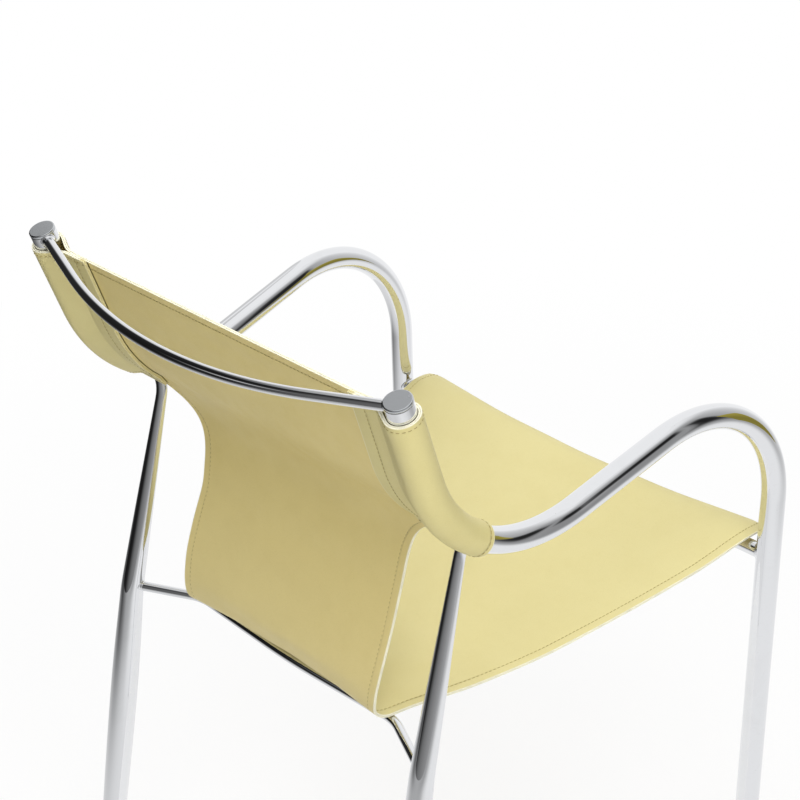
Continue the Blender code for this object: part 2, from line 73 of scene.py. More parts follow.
class TubeSettings(bpy.types.PropertyGroup):
    """Sizes of the chromed frame; points are given for the sitter's left side."""
    tube: length("Tube", "Diameter of the bent side tube", 0.025)
    arm_corner: spot("Arm corner", "Corner of front leg and arm", (0.2651, -0.25284, 0.691))
    arm_bend: length("Arm bend", "Radius of the arm hump", 0.1389)
    post_corner: spot("Post corner", "Corner of arm and back post", (0.2342, 0.16056, 0.5957))
    post_bend: length("Post bend", "Radius of the bend from arm to post", 0.1505)
    post_top: spot("Post top", "Top of the back post", (0.2380, 0.23176, 0.8191))
    disc: length("Disc", "Thickness of the disc that closes a post", 0.003)
    leg_seat: length("Leg seat", "Distance from post top to the rear leg along the tube", 0.2080)
    leg_drop: length("Leg drop", "Height of the leg's end under the tube's axis", 0.0070)
    leg_lead: length("Leg lead", "Length over which the leg's top bends outwards", 0.0300)
    leg_top: spot("Leg top", "Upper end of the straight rear leg", (0.2089, 0.13716, 0.6110))
    leg_knee: spot("Leg knee", "Slight bend of the rear leg", (0.2145, 0.19396, 0.4070))
    leg_foot: spot("Leg foot", "Axis of the rear leg at the floor", (0.2257, 0.27146, 0.0))
    leg_widths: FloatVectorProperty(name="Leg widths", description="Diameters at foot, belly, knee and top",
                                    default=(0.0220, 0.0285, 0.0236, 0.0115), size=4, unit="LENGTH",
                                    precision=5)
    belly: length("Belly height", "Height of the leg's thickest place", 0.262)
    rod: length("Top rod", "Diameter of the rod between the posts", 0.010)
    rod_drop: length("Rod drop", "Distance of the rod's ends from the post tops", 0.0082)
    rod_corner: spot("Rod corner", "Corner of the rod's bend, from its ends", (0.0, 0.0781, -0.0245))
    rod_bend: length("Rod bend", "Radius of the rod's bend", 0.4925)
    front_bar: length("Front bar", "Diameter of the front seat bar", 0.016)
    front_bar_z: length("Front bar height", "Height of the front seat bar", 0.4488)
    rear_bar: length("Rear bar", "Diameter of the rear seat bar", 0.010)
    rear_bar_knee: spot("Rear bar knee", "Where the rear bar cranks", (0.1420, 0.15766, 0.4080))
    rear_bar_mid: length("Rear bar middle", "Depth of the rear bar's middle", 0.16366)
    rear_bar_bend: length("Rear bar bend", "Radius of the rear bar's cranks", 0.050)
    weld: length("Weld", "Width of a weld fillet", 0.0022)
    glide: length("Glide", "Height of a glide's pad", 0.006)


class SlingSettings(bpy.types.PropertyGroup):
    """Sizes of the leather sling and its sewing."""
    hide: length("Hide", "Thickness of one hide", 0.0014)
    hide_gap: length("Hide gap", "Gap between face and lining", 0.0002)
    clear: length("Clearance", "Gap between sleeve and tube", 0.0005)
    sleeve_top: length("Sleeve top", "Distance from post top to the sleeve's rim", 0.0158)
    top_drop: length("Top drop", "Height of the panel's top edge under the rims", 0.0022)
    panel_end: length("Panel end", "Distance from post top to the end of panel and flap", 0.1819)
    sleeve_end: length("Sleeve end", "Distance from post top to the sleeve's lower rim", 0.1991)
    seam: length("Seam", "Distance of the sleeve's seam from the tube's axis", 0.0280)
    flap: length("Flap", "Distance of the flap's edge from the tube's axis", 0.0600)
    flap_gap: length("Flap gap", "Gap between flap and panel", 0.0006)
    shift_top: length("Shift at the top", "Panel behind the tube's axis, at the top", -0.0022)
    shift_end: length("Shift at the end", "Panel behind the tube's axis, at the waist", 0.0008)
    waist: spot("Waist", "Half width, depth and height of the waist", (0.1420, 0.13316, 0.5970))
    fold: length("Fold", "Radius of the fold over the rear bar", 0.0180)
    fold_y: length("Fold depth", "Depth of the fold's axis", 0.16166)
    fold_z: length("Fold height", "Height of the fold's axis", 0.43285)
    fold_edge: length("Fold edge", "How far the fold's middle lies in front of its ends", 0.0070)
    seat_half: length("Seat front", "Half width of the seat at the front", 0.2435)
    seat_sag: length("Seat sag", "Sag of the seat between its bars", 0.0060)
    loop: length("Loop", "Radius of the stiff hide round the front bar", 0.0128)
    roll_mid: length("Roll", "Overhang of the front edge in the middle", 0.0045)
    roll_bow: length("Roll bow", "More overhang at the corners", 0.0145)
    front_lift: length("Front lift", "Height of the stiff front edge over the bar", 0.0018)
    front_rise: length("Front rise", "More height towards the corners", 0.0046)
    front_dip: length("Front dip", "Dip at the very corner", 0.0032)
    rim_slant: length("Rim slant", "How much shorter the sleeve is at its flap", 0.0042)
    hem: length("Hem", "Depth of the hem under the seat", 0.0700)
    hem_half: length("Hem half", "Half width of the hem", 0.2000)
    stitch: length("Stitch", "Length of one stitch", 0.0034)
    stitch_pitch: length("Stitch pitch", "Distance from stitch to stitch", 0.0046)
    thread: length("Thread", "Thickness of the thread", 0.0007)
    edge_row: length("Edge row", "Distance of the stitching from a free edge", 0.0090)
    rim_row: length("Rim row", "Distance of the stitching from a sleeve's rim", 0.0047)
    flap_row: length("Flap row", "Distance of the flap's stitching from its edge", 0.0155)


class FinishSettings(bpy.types.PropertyGroup):
    """Colours of the finishes, in linear light."""
    chrome: tint("Chrome", "Plated tube", (0.80, 0.81, 0.83))
    disc: tint("Disc", "Disc on a post", (0.56, 0.58, 0.60))
    face: tint("Face hide", "Sitter's side of the sling", (0.628, 0.556, 0.248))
    face_tone: tint("Face tone", "Darker tone of the face hide", (0.585, 0.508, 0.212))
    lining: tint("Lining hide", "Rear and underside of the sling", (0.715, 0.592, 0.238))
    lining_tone: tint("Lining tone", "Darker tone of the lining hide", (0.650, 0.527, 0.198))
    cut: tint("Cut edge", "Raw edge of the hide", (0.90, 0.87, 0.68))
    thread: tint("Thread", "Sewing thread", (0.43, 0.34, 0.12))
    glide: tint("Glide", "Plastic of the glides", (0.035, 0.035, 0.038))
    floor: tint("Floor", "Pale studio floor", (0.88, 0.88, 0.88))


# Fixed numbers

SIDES = ((1, "left"), (-1, "right"))
FIT = 0.0003            # gap left where pieces touch
CHAMFER = 0.0003        # small chamfer of discs and glides
END_EDGE = 0.0004       # rounding of a tube's end
SLACK = 0.0001          # looseness between the two hides
KNEE_BEND = 0.25        # radius of the rear leg's bend
BAR_BOW = 0.8           # radius of the rear bar's middle
ROD_INSET = 0.0105      # top rod ends short of the posts' axes
REAR_BAR_INSET = 0.0095
BAR_SUNK = 0.002        # depth of the front bar's ends in the legs
WELD_RUN = 0.04         # run of rod on which a weld is worked out
PLUG_R, PLUG_L = 0.0102, 0.008
GLIDE_R, GLIDE_PLUG = 0.002, 0.02
TUBE_SIDES, ROD_SIDES, DISC_SIDES, STITCH_SIDES = 56, 40, 72, 6

SPAN_N = 40
FLAP_N, LEAF_N, ARC_N, PANEL_N = 13, 9, 34, 71
BACK_ROWS, TAIL_ROWS = 56, 8
HALF_N = FLAP_N + 2 * LEAF_N + ARC_N - 3
PANEL = slice(HALF_N - 1, HALF_N - 1 + PANEL_N)
NO_SHADOW_LINE = 9.0          # distance that no point of the panel has

# Shares of depth, height and half width from the sleeves to the waist, and from the waist to the fold
TO_WAIST = np.array([[0.259, 0.149, 0.182], [0.549, 0.316, 0.386], [0.839, 0.516, 0.616],
                     [0.996, 0.750, 0.818], [1.0, 1.0, 0.934]])
TO_FOLD = np.array([[0.055, 0.113, 1.005], [0.152, 0.246, 0.995], [0.269, 0.380, 0.989],
                    [0.541, 0.586, 1.0], [0.828, 0.813, 1.0], [1.0, 1.0, 0.986]])
# Seat from front to rear: shares of its depth and of its widening
SEAT_TAPER = np.array([[0.0, 1.0], [0.169, 0.886], [0.355, 0.744], [0.524, 0.607], [0.639, 0.507],
                       [0.796, 0.322], [0.893, 0.171], [1.0, 0.0]])


# Paths and surfaces

def unit(vectors):
    """Vectors divided by their own lengths."""
    return vectors / np.linalg.norm(vectors, axis=-1, keepdims=True)


def smooth(x):
    """Eased step: x held within 0 and 1, then three of its squares less two of its cubes."""
    x = np.clip(x, 0, 1)
    return x * x * (3 - 2 * x)


def bent_path(corners, radii, step=math.radians(1.2)):
    """Straight runs joined by circular arcs: each inner corner is replaced by the arc of the given radius
    that touches both runs, traced as a turn from one touching point to the other."""
    corners = np.asarray(corners, float)
    parts = [corners[:1]]
    for before, corner, after, radius in zip(corners[:-2], corners[1:-1], corners[2:], radii):
        to_before, to_after = unit(before - corner), unit(after - corner)
        half = math.acos(float(np.clip(to_before @ to_after, -1, 1))) / 2
        centre = corner + unit(to_before + to_after) * radius / math.sin(half)
        start = corner + to_before * radius / math.tan(half) - centre
        end = corner + to_after * radius / math.tan(half) - centre
        turn = math.pi - 2 * half
        f = np.linspace(0, 1, max(3, math.ceil(turn / step)))[:, None]
        parts.append(centre + (start * np.sin((1 - f) * turn) + end * np.sin(f * turn)) / math.sin(turn))
    return np.vstack(parts + [corners[-1:]])


def run_of(path):
    """Distance along the path at each of its points."""
    return np.r_[0, np.cumsum(np.linalg.norm(np.diff(path, axis=0), axis=1))]


def sampled(values, at, where):
    """Columns of values, known at rising positions, read at other positions."""
    return np.stack([np.interp(where, at, column) for column in values.T], axis=-1)


def along(path, distance):
    """Points on the path at the given distances from its start."""
    return sampled(path, run_of(path), distance)


def evenly(path, spacing):
    """The same path with points at even distances."""
    run = run_of(path)
    return along(path, np.linspace(0, run[-1], max(3, int(round(run[-1] / spacing)) + 1)))


def softened(values, passes):
    """Running mean of neighbours along the first axis with the two ends held."""
    values = values.copy()
    for _ in range(passes):
        values[1:-1] = 0.25 * values[:-2] + 0.5 * values[1:-1] + 0.25 * values[2:]
    return values


def through(points):
    """Smooth curve through the points: each span is a cubic whose slopes follow the neighbouring points."""
    p = np.asarray(points, float)
    p = np.vstack([2 * p[0] - p[1], p, 2 * p[-1] - p[-2]])
    a, b, c, d = p[:-3, None], p[1:-2, None], p[2:-1, None], p[3:, None]
    t = np.linspace(0, 1, SPAN_N, endpoint=False)[None, :, None]
    spans = 0.5 * (2 * b + (c - a) * t + (2 * a - 5 * b + 4 * c - d) * t ** 2
                   + (3 * b - a - 3 * c + d) * t ** 3)
    return np.vstack([spans.reshape(-1, p.shape[1]), p[-2]])


def spokes(first, second, sides):
    """Unit vectors round a circle, counted from the first direction towards the second."""
    angle = np.linspace(0, 2 * math.pi, sides, endpoint=False)[:, None]
    return np.cos(angle) * first[..., None, :] + np.sin(angle) * second[..., None, :]


def rings(path, radii, sides, side_axis):
    """Round sweep: at each path point a circle in the plane across the path, its angle counted from the
    side axis. Gives an array of (points, sides, 3)."""
    tangent = unit(np.gradient(path, axis=0))
    axis = np.asarray(side_axis, float)
    first = unit(axis - (tangent @ axis)[:, None] * tangent)
    return path[:, None] + np.reshape(radii, (-1, 1, 1)) * spokes(first, np.cross(tangent, first), sides)


def grid_faces(rows, columns, around=False, looped=False):
    """Quads of a grid; around closes the last column on the first, looped the last row on the first."""
    row = np.arange(rows if looped else rows - 1)[:, None]
    column = np.arange(columns if around else columns - 1)[None, :]
    below, beside = (row + 1) % rows, (column + 1) % columns
    quads = np.stack([row * columns + column, row * columns + beside,
                      below * columns + beside, below * columns + column], axis=-1)
    return quads.reshape(-1, 4)


def closed(ringed, tips, way=1):
    """Vertices and faces of a row of rings with a fan to a tip at each end; way -1 turns the faces over."""
    rows, sides = ringed.shape[:2]
    here = np.arange(sides)
    there = (here + 1) % sides
    last = (rows - 1) * sides
    start = np.stack([np.full(sides, rows * sides), there, here], axis=-1)
    end = np.stack([np.full(sides, rows * sides + 1), last + here, last + there], axis=-1)
    faces = [part[:, ::way].tolist() for part in (grid_faces(rows, sides, True), start, end)]
    return np.vstack([ringed.reshape(-1, 3), tips]), sum(faces, [])


def turned(profile, origin, axis, sides):
    """Profile of (radius, height) pairs, from top to bottom, turned about the axis through the origin; a
    radius of nothing at either end closes the shape in one point."""
    profile = np.asarray(profile, float)
    axis = unit(np.asarray(axis, float))
    first = unit(np.cross(axis, [0.0, 1.0, 0.03]))
    level = origin + profile[:, 1:] * axis
    ringed = level[1:-1, None] + profile[1:-1, None, :1] * spokes(first, np.cross(axis, first), sides)
    return closed(ringed, level[[0, -1]], -1)


def joined(parts):
    """Several (vertices, faces) as one."""
    verts, faces, start = [], [], 0
    for v, f in parts:
        verts.append(v)
        faces += (f + start).tolist()
        start += len(v)
    return np.vstack(verts), faces


def new_mesh(name, verts, faces, materials=()):
    mesh = bpy.data.meshes.new(name)
    mesh.from_pydata(verts.tolist(), [], faces)
    for mat in materials:
        mesh.materials.append(mat)
    mesh.update()
    return mesh


def new_object(name, data):
    obj = bpy.data.objects.new(name, data)
    bpy.context.scene.collection.objects.link(obj)
    return obj


def add_piece(name, verts, faces, finishes, node=None):
    """Smooth mesh object at the origin that rides on the chair's one body and may stand for a CAD node."""
    mesh = new_mesh(name, verts, faces, [bpy.data.materials[label] for label in finishes])
    mesh.polygons.foreach_set("use_smooth", np.ones(len(mesh.polygons), bool))
    obj = new_object(name, mesh)
    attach(obj, "root")
    if node:
        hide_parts(node)
    return obj


def bevel(obj, width, segments=2, degrees=40.0, material=-1):
    """Rounds the edges that turn by more than the given angle."""
    mod = obj.modifiers.new("edge", "BEVEL")
    mod.material = material
    mod.width = width
    mod.segments = segments
    mod.limit_method = "ANGLE"
    mod.angle_limit = math.radians(degrees)
    mod.harden_normals = True


def add_tube(name, node, line, radii, sides, side_axis):
    """Chromed round bar along a line, flat at both ends, that stands for a CAD node."""
    ringed = rings(line, radii, sides, side_axis)
    verts, faces = closed(ringed, [ringed[0].mean(0), ringed[-1].mean(0)])
    bevel(add_piece(name, verts, faces, ["chrome_plate"], node), END_EDGE)


# Lines of the chair

def mirrored(points, side):
    """Points of the sitter's left side, or with side -1 their mirror images across X = 0."""
    return np.asarray(points, float) * np.array([side, 1.0, 1.0])


def side_line(size, side):
    """Axis of a side tube from the floor to the post top: leg, hump, sloping arm, bend and post."""
    x, y, _ = size.arm_corner
    line = bent_path([(x, y, size.glide + FIT), size.arm_corner, size.post_corner, size.post_top],
                     [size.arm_bend, size.post_bend])
    return mirrored(line, side)


def leg_line(size, side):
    """Axis and radii of a rear leg: a curve leaves the arm tube, runs into the straight upper leg and turns
    slightly at the knee; the width follows the height through foot, belly, knee and top."""
    joint = along(side_line(size, 1)[::-1], size.leg_seat) - np.array([0, 0, size.leg_drop])
    top, knee, foot = (np.array(p) for p in (size.leg_top, size.leg_knee, size.leg_foot))
    lead = top + unit(top - knee) * size.leg_lead
    f = np.linspace(0, 1, 24)[:, None]
    curve = joint * (1 - f) ** 2 + lead * 2 * f * (1 - f) + top * f ** 2
    down = unit(foot - knee)
    foot = foot - down * ((size.glide + FIT) / -down[2])
    lower = bent_path([top, knee, foot], [KNEE_BEND])
    line = evenly(np.vstack([curve, lower[1:]]), 0.004)
    widths = through(np.column_stack([[foot[2], size.belly, knee[2], top[2]], size.leg_widths]))
    return mirrored(line, side), np.interp(line[:, 2], widths[:, 0], widths[:, 1]) / 2


def rod_line(size):
    """Axis of the top rod: straight ends and one wide bend to the rear and down."""
    end = along(side_line(size, 1)[::-1], size.rod_drop)
    corner = end * np.array([0, 1, 1]) + np.array(size.rod_corner)
    return bent_path([mirrored(end, -1), corner, end], [size.rod_bend], math.radians(0.5))


def rear_bar_line(size):
    """Axis of the rear bar: nearly straight under the sling, with a crank back to each leg."""
    knee = np.array(size.rear_bar_knee)
    leg = leg_line(size, 1)[0]
    end = sampled(leg, -leg[:, 2], -knee[2])
    middle = np.array([0.0, size.rear_bar_mid, knee[2]])
    corners = [mirrored(end, -1), mirrored(knee, -1), middle, knee, end]
    return bent_path(corners, [size.rear_bar_bend, BAR_BOW, size.rear_bar_bend])


def weld_fillet(joint, way, radius, tube_point, tube_axis, tube_radius, width):
    """Concave fillet where a rod meets a tube. For each angle round the rod the hit on the tube is solved
    from the quadratic of a line and a cylinder; the fillet is a quarter turn from a ring on the rod to a
    ring on the tube."""
    way, tube_axis = unit(np.asarray(way, float)), unit(np.asarray(tube_axis, float))
    start = joint - way * WELD_RUN
    first = unit(np.cross(way, tube_axis))
    across = spokes(first, np.cross(way, first), ROD_SIDES)
    turn = np.linspace(0, math.pi / 2, 7)[:, None]
    ring = start + (radius + width * (1 - np.cos(turn)))[..., None] * across
    origin = ring - tube_point
    flat = origin - (origin @ tube_axis)[..., None] * tube_axis
    slope = way - (way @ tube_axis) * tube_axis
    a = slope @ slope
    b = 2 * (flat @ slope)
    c = (flat ** 2).sum(-1) - tube_radius ** 2
    hit = (-b - np.sqrt(np.maximum(b * b - 4 * a * c, 0.0))) / (2 * a)
    points = ring + (hit - width * (1 - np.sin(turn)))[..., None] * way
    inner = start + (radius - 0.0008) * across + (hit[-1] + 0.0006)[:, None] * way
    ringed = np.concatenate([points, inner[None]])
    return ringed.reshape(-1, 3), grid_faces(len(ringed), ROD_SIDES, True, True)


# Sling surface

class Sling:
    """Middle surface of the sling and the lines sewn on it, from the settings."""
    TOP_EASE = 0.05         # run over which the top edge's dip fades out
    TOP_ENDS = 0.06         # share of the half width over which the dip begins
    RIPPLE_AT = 0.055       # place, reach, rate and height of the ripples under the top edge
    RIPPLE_REACH = 0.028
    RIPPLE_RATE = 190.0
    RIPPLE = 0.00045
    WAVE = 0.0007           # height of the shallow wave, and the run over which it fades in
    WAVE_EASE = 0.06
    FRONT_RUN = 0.08        # run of seat that rises to the front edge
    CORNER = 0.09           # share of the half width that the front corner's dip takes
    FOLD_ANGLES = (-4.0, -84.0)
    RIM_ANGLE = 302.0       # where the turn round the tube ends at the sleeve's lower rim
    HEM_START = 0.006       # hem: its start behind the bar, and the runs of its rise and of its bow
    HEM_RISE = 0.044
    HEM_BOW = 0.05
    ROW_STEP = 0.0035
    BEND_ROWS = 14.0        # rows over which the bend at the panel's end is spread
    SHADOW_LINE = 0.0005          # how far beyond the flap's edge the painted shadow line lies

    def __init__(self, size, tubes):
        self.size = size
        self.sheet = 2 * size.hide + size.hide_gap + SLACK
        self.layer = self.sheet + size.flap_gap
        self.wrap = tubes.tube / 2 + size.clear + self.sheet / 2
        self.post = side_line(tubes, 1)[::-1]
        self.bar_y = tubes.arm_corner[1]
        self.seat_top = tubes.front_bar_z + tubes.front_bar / 2 + FIT + self.sheet / 2
        self.panel_z = along(self.post, size.panel_end)[2]
        self.back_s = np.linspace(size.sleeve_top, size.panel_end, BACK_ROWS)

    def post_frame(self, s):
        """Tube centres at distances from the post top, with the rearward normals."""
        near = 0.006
        down = along(self.post, s + near) - along(self.post, s - near)
        rear = np.stack([np.zeros_like(s), -down[..., 2], down[..., 1]], axis=-1)
        return along(self.post, s), unit(rear)

    def shift(self, s):
        """How far the panel lies behind the tube's axis: it grows with the square of the distance."""
        z = self.size
        return z.shift_top + (z.shift_end - z.shift_top) * (s / z.panel_end) ** 2

    def angles(self, s):
        """Angles where the sheet leaves the tube's circle at the rear and at the front."""
        seam, shift = self.size.seam, self.shift(s)
        lift = shift + self.layer
        rear = np.arctan2(lift, seam) + np.arccos(self.wrap / np.hypot(seam, lift))
        front = np.arctan2(shift, seam) - np.arccos(self.wrap / np.hypot(seam, shift))
        return rear, front + 2 * math.pi

    def section(self, s):
        """Half section across a post for each distance: flap, rear run to the tube, turn round the tube,
        front run back to the seam. Positions are inboard and rearward of the tube's axis."""
        z, wrap = self.size, self.wrap
        s = s[:, None]
        lift = self.shift(s) + self.layer
        rear, front = self.angles(s)
        f = np.linspace(0, 1, FLAP_N)[:-1]
        flap = (z.flap + (z.seam - z.flap) * f + 0 * s, lift + 0 * f)
        f = np.linspace(0, 1, LEAF_N)
        leaf = (z.seam + (wrap * np.cos(rear) - z.seam) * f[:-1],
                lift + (wrap * np.sin(rear) - lift) * f[:-1])
        angle = rear + (front - rear) * np.linspace(0, 1, ARC_N)
        arc = (wrap * np.cos(angle), wrap * np.sin(angle))
        front_u, front_v = wrap * np.cos(front), wrap * np.sin(front)
        back = (front_u + (z.seam - front_u) * f[1:], front_v + (self.shift(s) - front_v) * f[1:])
        return tuple(np.concatenate([p[k] for p in (flap, leaf, arc, back)], axis=1) for k in (0, 1))

    def upper(self):
        """Rows of the back from rim to waist, each from the left flap edge to the right one; the panel's top
        dips a little and a few shallow ripples run across it."""
        z, s = self.size, self.back_s
        inboard, behind = self.section(s)
        centre, rear = self.post_frame(s)
        left = centre[:, None] + rear[:, None] * behind[..., None]
        left[..., 0] -= inboard
        shift = self.shift(s)[:, None]
        drop = z.top_drop * np.clip(1 - (s - z.sleeve_top) / self.TOP_EASE, 0, 1) ** 2
        middle_at, middle_rear = self.post_frame(s + drop)
        flush = (centre + rear * shift)[:, None]
        line = (middle_at + middle_rear * shift)[:, None]
        f = np.linspace(1, -1, PANEL_N)[1:-1]
        panel = flush + (line - flush) * np.clip((1 - np.abs(f)) / self.TOP_ENDS, 0, 1)[:, None]
        panel[..., 0] = (centre[:, :1] - z.seam) * f
        ripple = np.exp(-((s - self.RIPPLE_AT) / self.RIPPLE_REACH) ** 2)
        ripple = ripple * np.sin((s - 0.02) * self.RIPPLE_RATE)
        panel[..., 1] += self.RIPPLE * ripple[:, None] * (1 - f ** 2) * np.cos(1.3 * f)
        rows = np.concatenate([left, panel, mirrored(left[:, ::-1], -1)], axis=1)
        return np.swapaxes(softened(np.swapaxes(rows, 0, 1), 2), 0, 1)

    def profile(self):
        """Rows below the sleeves as (y, z, half width, fold weight, roll weight), evenly spaced: waist curve,
        fold over the rear bar, sagging seat, roll round the front bar and hem."""
        def rows_of(y, height, half, fold=0.0, roll=0.0):
            return np.column_stack(np.broadcast_arrays(y, height, half, fold, roll))

        z = self.size
        s = z.panel_end - np.array([0.03, 0.015, 0.0])
        centre, rear = self.post_frame(s)
        start = centre + rear * self.shift(s)[:, None]
        lead = np.column_stack([start[:, 1:], centre[:, 0] - z.seam])
        waist_half = z.waist[0]
        waist = np.array([z.waist[1], z.waist[2], waist_half])
        end = np.array([z.fold_y + z.fold * 0.933, z.fold_z + z.fold * 0.778])
        upper = lead[-1] + (waist - lead[-1]) * TO_WAIST
        lower = np.column_stack([waist[:2] + (end - waist[:2]) * TO_FOLD[:, :2], waist_half * TO_FOLD[:, 2]])
        down = through(np.vstack([lead, upper, lower]))[2 * SPAN_N:]
        f = np.linspace(0, 1, 40)
        angle = np.radians(self.FOLD_ANGLES[0] + (self.FOLD_ANGLES[1] - self.FOLD_ANGLES[0]) * f)
        fold = rows_of(z.fold_y + z.fold * np.cos(angle), z.fold_z + z.fold * np.sin(angle),
                       waist_half * (0.965 + 0.035 * np.abs(f - 0.35)), 1.0)
        at = np.linspace(0.945, 0.012, 160)
        depth = (z.fold_y - self.bar_y) * at
        taper = through(SEAT_TAPER)
        fold_half = waist_half * 0.972
        seat = rows_of(self.bar_y + depth, self.seat_height(depth),
                       fold_half + (z.seat_half - fold_half) * np.interp(at, taper[:, 0], taper[:, 1]))
        angle = np.radians(90.0 + 180.0 * f)
        narrow = np.clip((f - 0.25) / 0.75, 0, 1) ** 1.4
        roll = rows_of(self.bar_y + z.loop * np.cos(angle), self.seat_top - z.loop * (1 - np.sin(angle)),
                       z.seat_half + (z.hem_half - z.seat_half) * narrow, 0.0, np.clip(f * 6, 0, 1))
        back = np.linspace(self.HEM_START, z.hem, 20)
        under = self.seat_height(back) - self.layer
        bottom = self.seat_top - 2 * z.loop
        under = np.minimum(under, bottom + (under - bottom) * smooth((back - self.HEM_START) / self.HEM_RISE))
        bow = np.clip(1 - (back - self.HEM_START) / self.HEM_BOW, 0, 1)
        hem = rows_of(self.bar_y + back, under, z.hem_half, 0.0, bow)
        rows = np.vstack([rows_of(*down.T), fold, seat, roll, hem])
        run = run_of(rows[:, :2])
        even = np.linspace(0, run[-1], int(run[-1] / self.ROW_STEP))
        return softened(sampled(rows, run, even), 3)

    def seat_height(self, back):
        """Straight run from rear bar to front bar with a sine sag."""
        z, edge = self.size, 0.003
        f = (back - edge) / (z.fold_y - self.bar_y - edge)
        run = self.seat_top + (z.fold_z - z.fold - self.seat_top) * f
        return run - z.seat_sag * np.sin(np.pi * np.clip(f, 0, 1))

    def lower_points(self, rows, f):
        """Points of the lower rows at shares f of the half width; the fold's middle lies forward, the front
        roll stands out towards its corners, and a shallow wave fades in below the sleeves."""
        z = self.size
        y, height, half, edge, roll = (rows[:, k, None] for k in range(5))
        f = f + 0 * y
        out = y + edge * z.fold_edge * (f * f - 1) - roll * (z.roll_mid + z.roll_bow * f * f)
        corner = np.clip((np.abs(f) - 1 + self.CORNER) / self.CORNER, 0, 1)
        lift = z.front_lift + z.front_rise * np.abs(f) ** 1.5 - z.front_dip * corner ** 2
        below = smooth((self.panel_z - height) / self.WAVE_EASE)
        height = height + smooth(1 - (y - self.bar_y) / self.FRONT_RUN) * lift
        wave = self.WAVE * np.sin(9.0 * f + 14.0 * height) * np.sin(23.0 * y + 3.0 * f) * (1 - f ** 4)
        return np.stack([half * f, out, height + wave * below], axis=-1)

    def sleeve_tail(self):
        """Rows of the left sleeve past the panel's end: flap and rear run go on behind the panel, the turn
        round the tube opens at its front, and the rim slants. Gives the points, the distance to the rim and
        the distance to the flap's edge."""
        z = self.size
        count = FLAP_N - 1 + LEAF_N - 1 + ARC_N
        inboard = self.section(np.array([z.panel_end]))[0][0, :count]
        rim = z.sleeve_end - z.rim_slant * np.clip(inboard / 0.03, 0, 1)
        part = np.linspace(0, 1, TAIL_ROWS)[1:, None]
        s = z.panel_end + (rim - z.panel_end) * part
        lift = self.shift(s) + self.layer
        rear, front = self.angles(s)
        stop = front + (math.radians(self.RIM_ANGLE) - front) * part
        flap = np.r_[np.linspace(0, 1, FLAP_N)[:-1], np.ones(count - FLAP_N + 1)]
        leaf = np.r_[np.zeros(FLAP_N - 1), np.linspace(0, 1, LEAF_N)[:-1], np.ones(ARC_N)]
        turn = np.r_[np.zeros(count - ARC_N), np.linspace(0, 1, ARC_N)]
        angle = rear + (stop - rear) * turn
        flat_u = z.flap + (z.seam - z.flap) * flap
        u = flat_u + (self.wrap * np.cos(angle) - flat_u) * leaf
        v = lift + (self.wrap * np.sin(angle) - lift) * leaf
        centre, normal = self.post_frame(s)
        points = centre + normal * v[..., None]
        points[..., 0] -= u
        line = evenly(self.profile()[:24, :2], 0.0004)
        way = unit(np.gradient(line, axis=0))
        behind = np.stack([-way[:, 1], way[:, 0]], axis=-1)
        offset = points[:, :, None, 1:] - line
        nearest = (offset ** 2).sum(-1).argmin(-1)
        gap = (np.take_along_axis(offset, nearest[..., None, None], 2)[:, :, 0] * behind[nearest]).sum(-1)
        push = np.maximum(self.layer - gap, 0) * np.clip((u - 0.010) / 0.016, 0, 1)
        points[..., 1:] += push[..., None] * behind[nearest]
        side = np.where(np.arange(count) < count - ARC_N, z.flap - u[0], 1.0)
        return points, rim - s, side

    def eased(self, upper, lower):
        """Upper and lower rows with the bend at the panel's end spread over the rows beside it: each column
        is blended with its running mean, fully in the middle and not at all where the flaps lie behind."""
        rows = np.concatenate([upper[:, PANEL], lower])
        from_end = np.arange(len(rows)) - len(upper) + 1
        across = smooth((0.83 - np.abs(np.linspace(1, -1, PANEL_N))) / 0.3)
        share = np.exp(-(from_end / self.BEND_ROWS) ** 4)[:, None] * across
        rows = rows + (softened(rows, 40) - rows) * share[..., None]
        upper[:, PANEL] = rows[:len(upper)]
        return upper, rows[len(upper):]

    def mesh(self):
        """Vertices, faces and distances to sewing and edges of the whole middle surface."""
        rows = self.profile()[1:]
        f = np.linspace(1, -1, PANEL_N)[None]
        upper, lower = self.eased(self.upper(), self.lower_points(rows, f))
        tail, rim, side = self.sleeve_tail()
        count = upper.shape[1]
        last = (len(upper) - 1) * count
        sleeve = last + np.arange(tail.shape[1])
        verts = [upper.reshape(-1, 3)]
        faces = [grid_faces(len(upper), count)]
        start = len(verts[0])
        for first, points in ((last + np.arange(count)[PANEL], lower), (sleeve, tail),
                              (sleeve + count - tail.shape[1], mirrored(tail[:, ::-1], -1))):
            index = np.arange(points.size // 3).reshape(points.shape[:2]) + start
            index = np.vstack([first, index])
            quads = np.stack([index[:-1, :-1], index[:-1, 1:], index[1:, 1:], index[1:, :-1]], axis=-1)
            verts.append(points.reshape(-1, 3))
            faces.append(quads.reshape(-1, 4))
            start += points.size // 3
        return np.vstack(verts), np.vstack(faces), self.gaps(upper, rows, f, rim, side)

    def gaps(self, upper, rows, f, rim, flap_side):
        """Distances of every vertex from the nearest sewing row and free edge, the distance from the middle
        at which a painted shadow line lies on the panel beside the flap's edge, and the flaps' turned edges."""
        z = self.size
        s = self.back_s[:, None]
        step = np.linalg.norm(np.diff(upper, axis=1), axis=-1)
        side = np.concatenate([np.zeros((len(upper), 1)), np.cumsum(step, axis=1)], axis=1)
        side = np.minimum(side, side[:, ::-1])
        inside = rows[:, 2, None] * (1 - np.abs(f))

        def whole(back, low, tail):
            tail = tail + 0 * rim
            parts = (back + 0 * side, low + 0 * inside, tail, tail[:, ::-1])
            return np.concatenate([part.ravel() for part in parts])

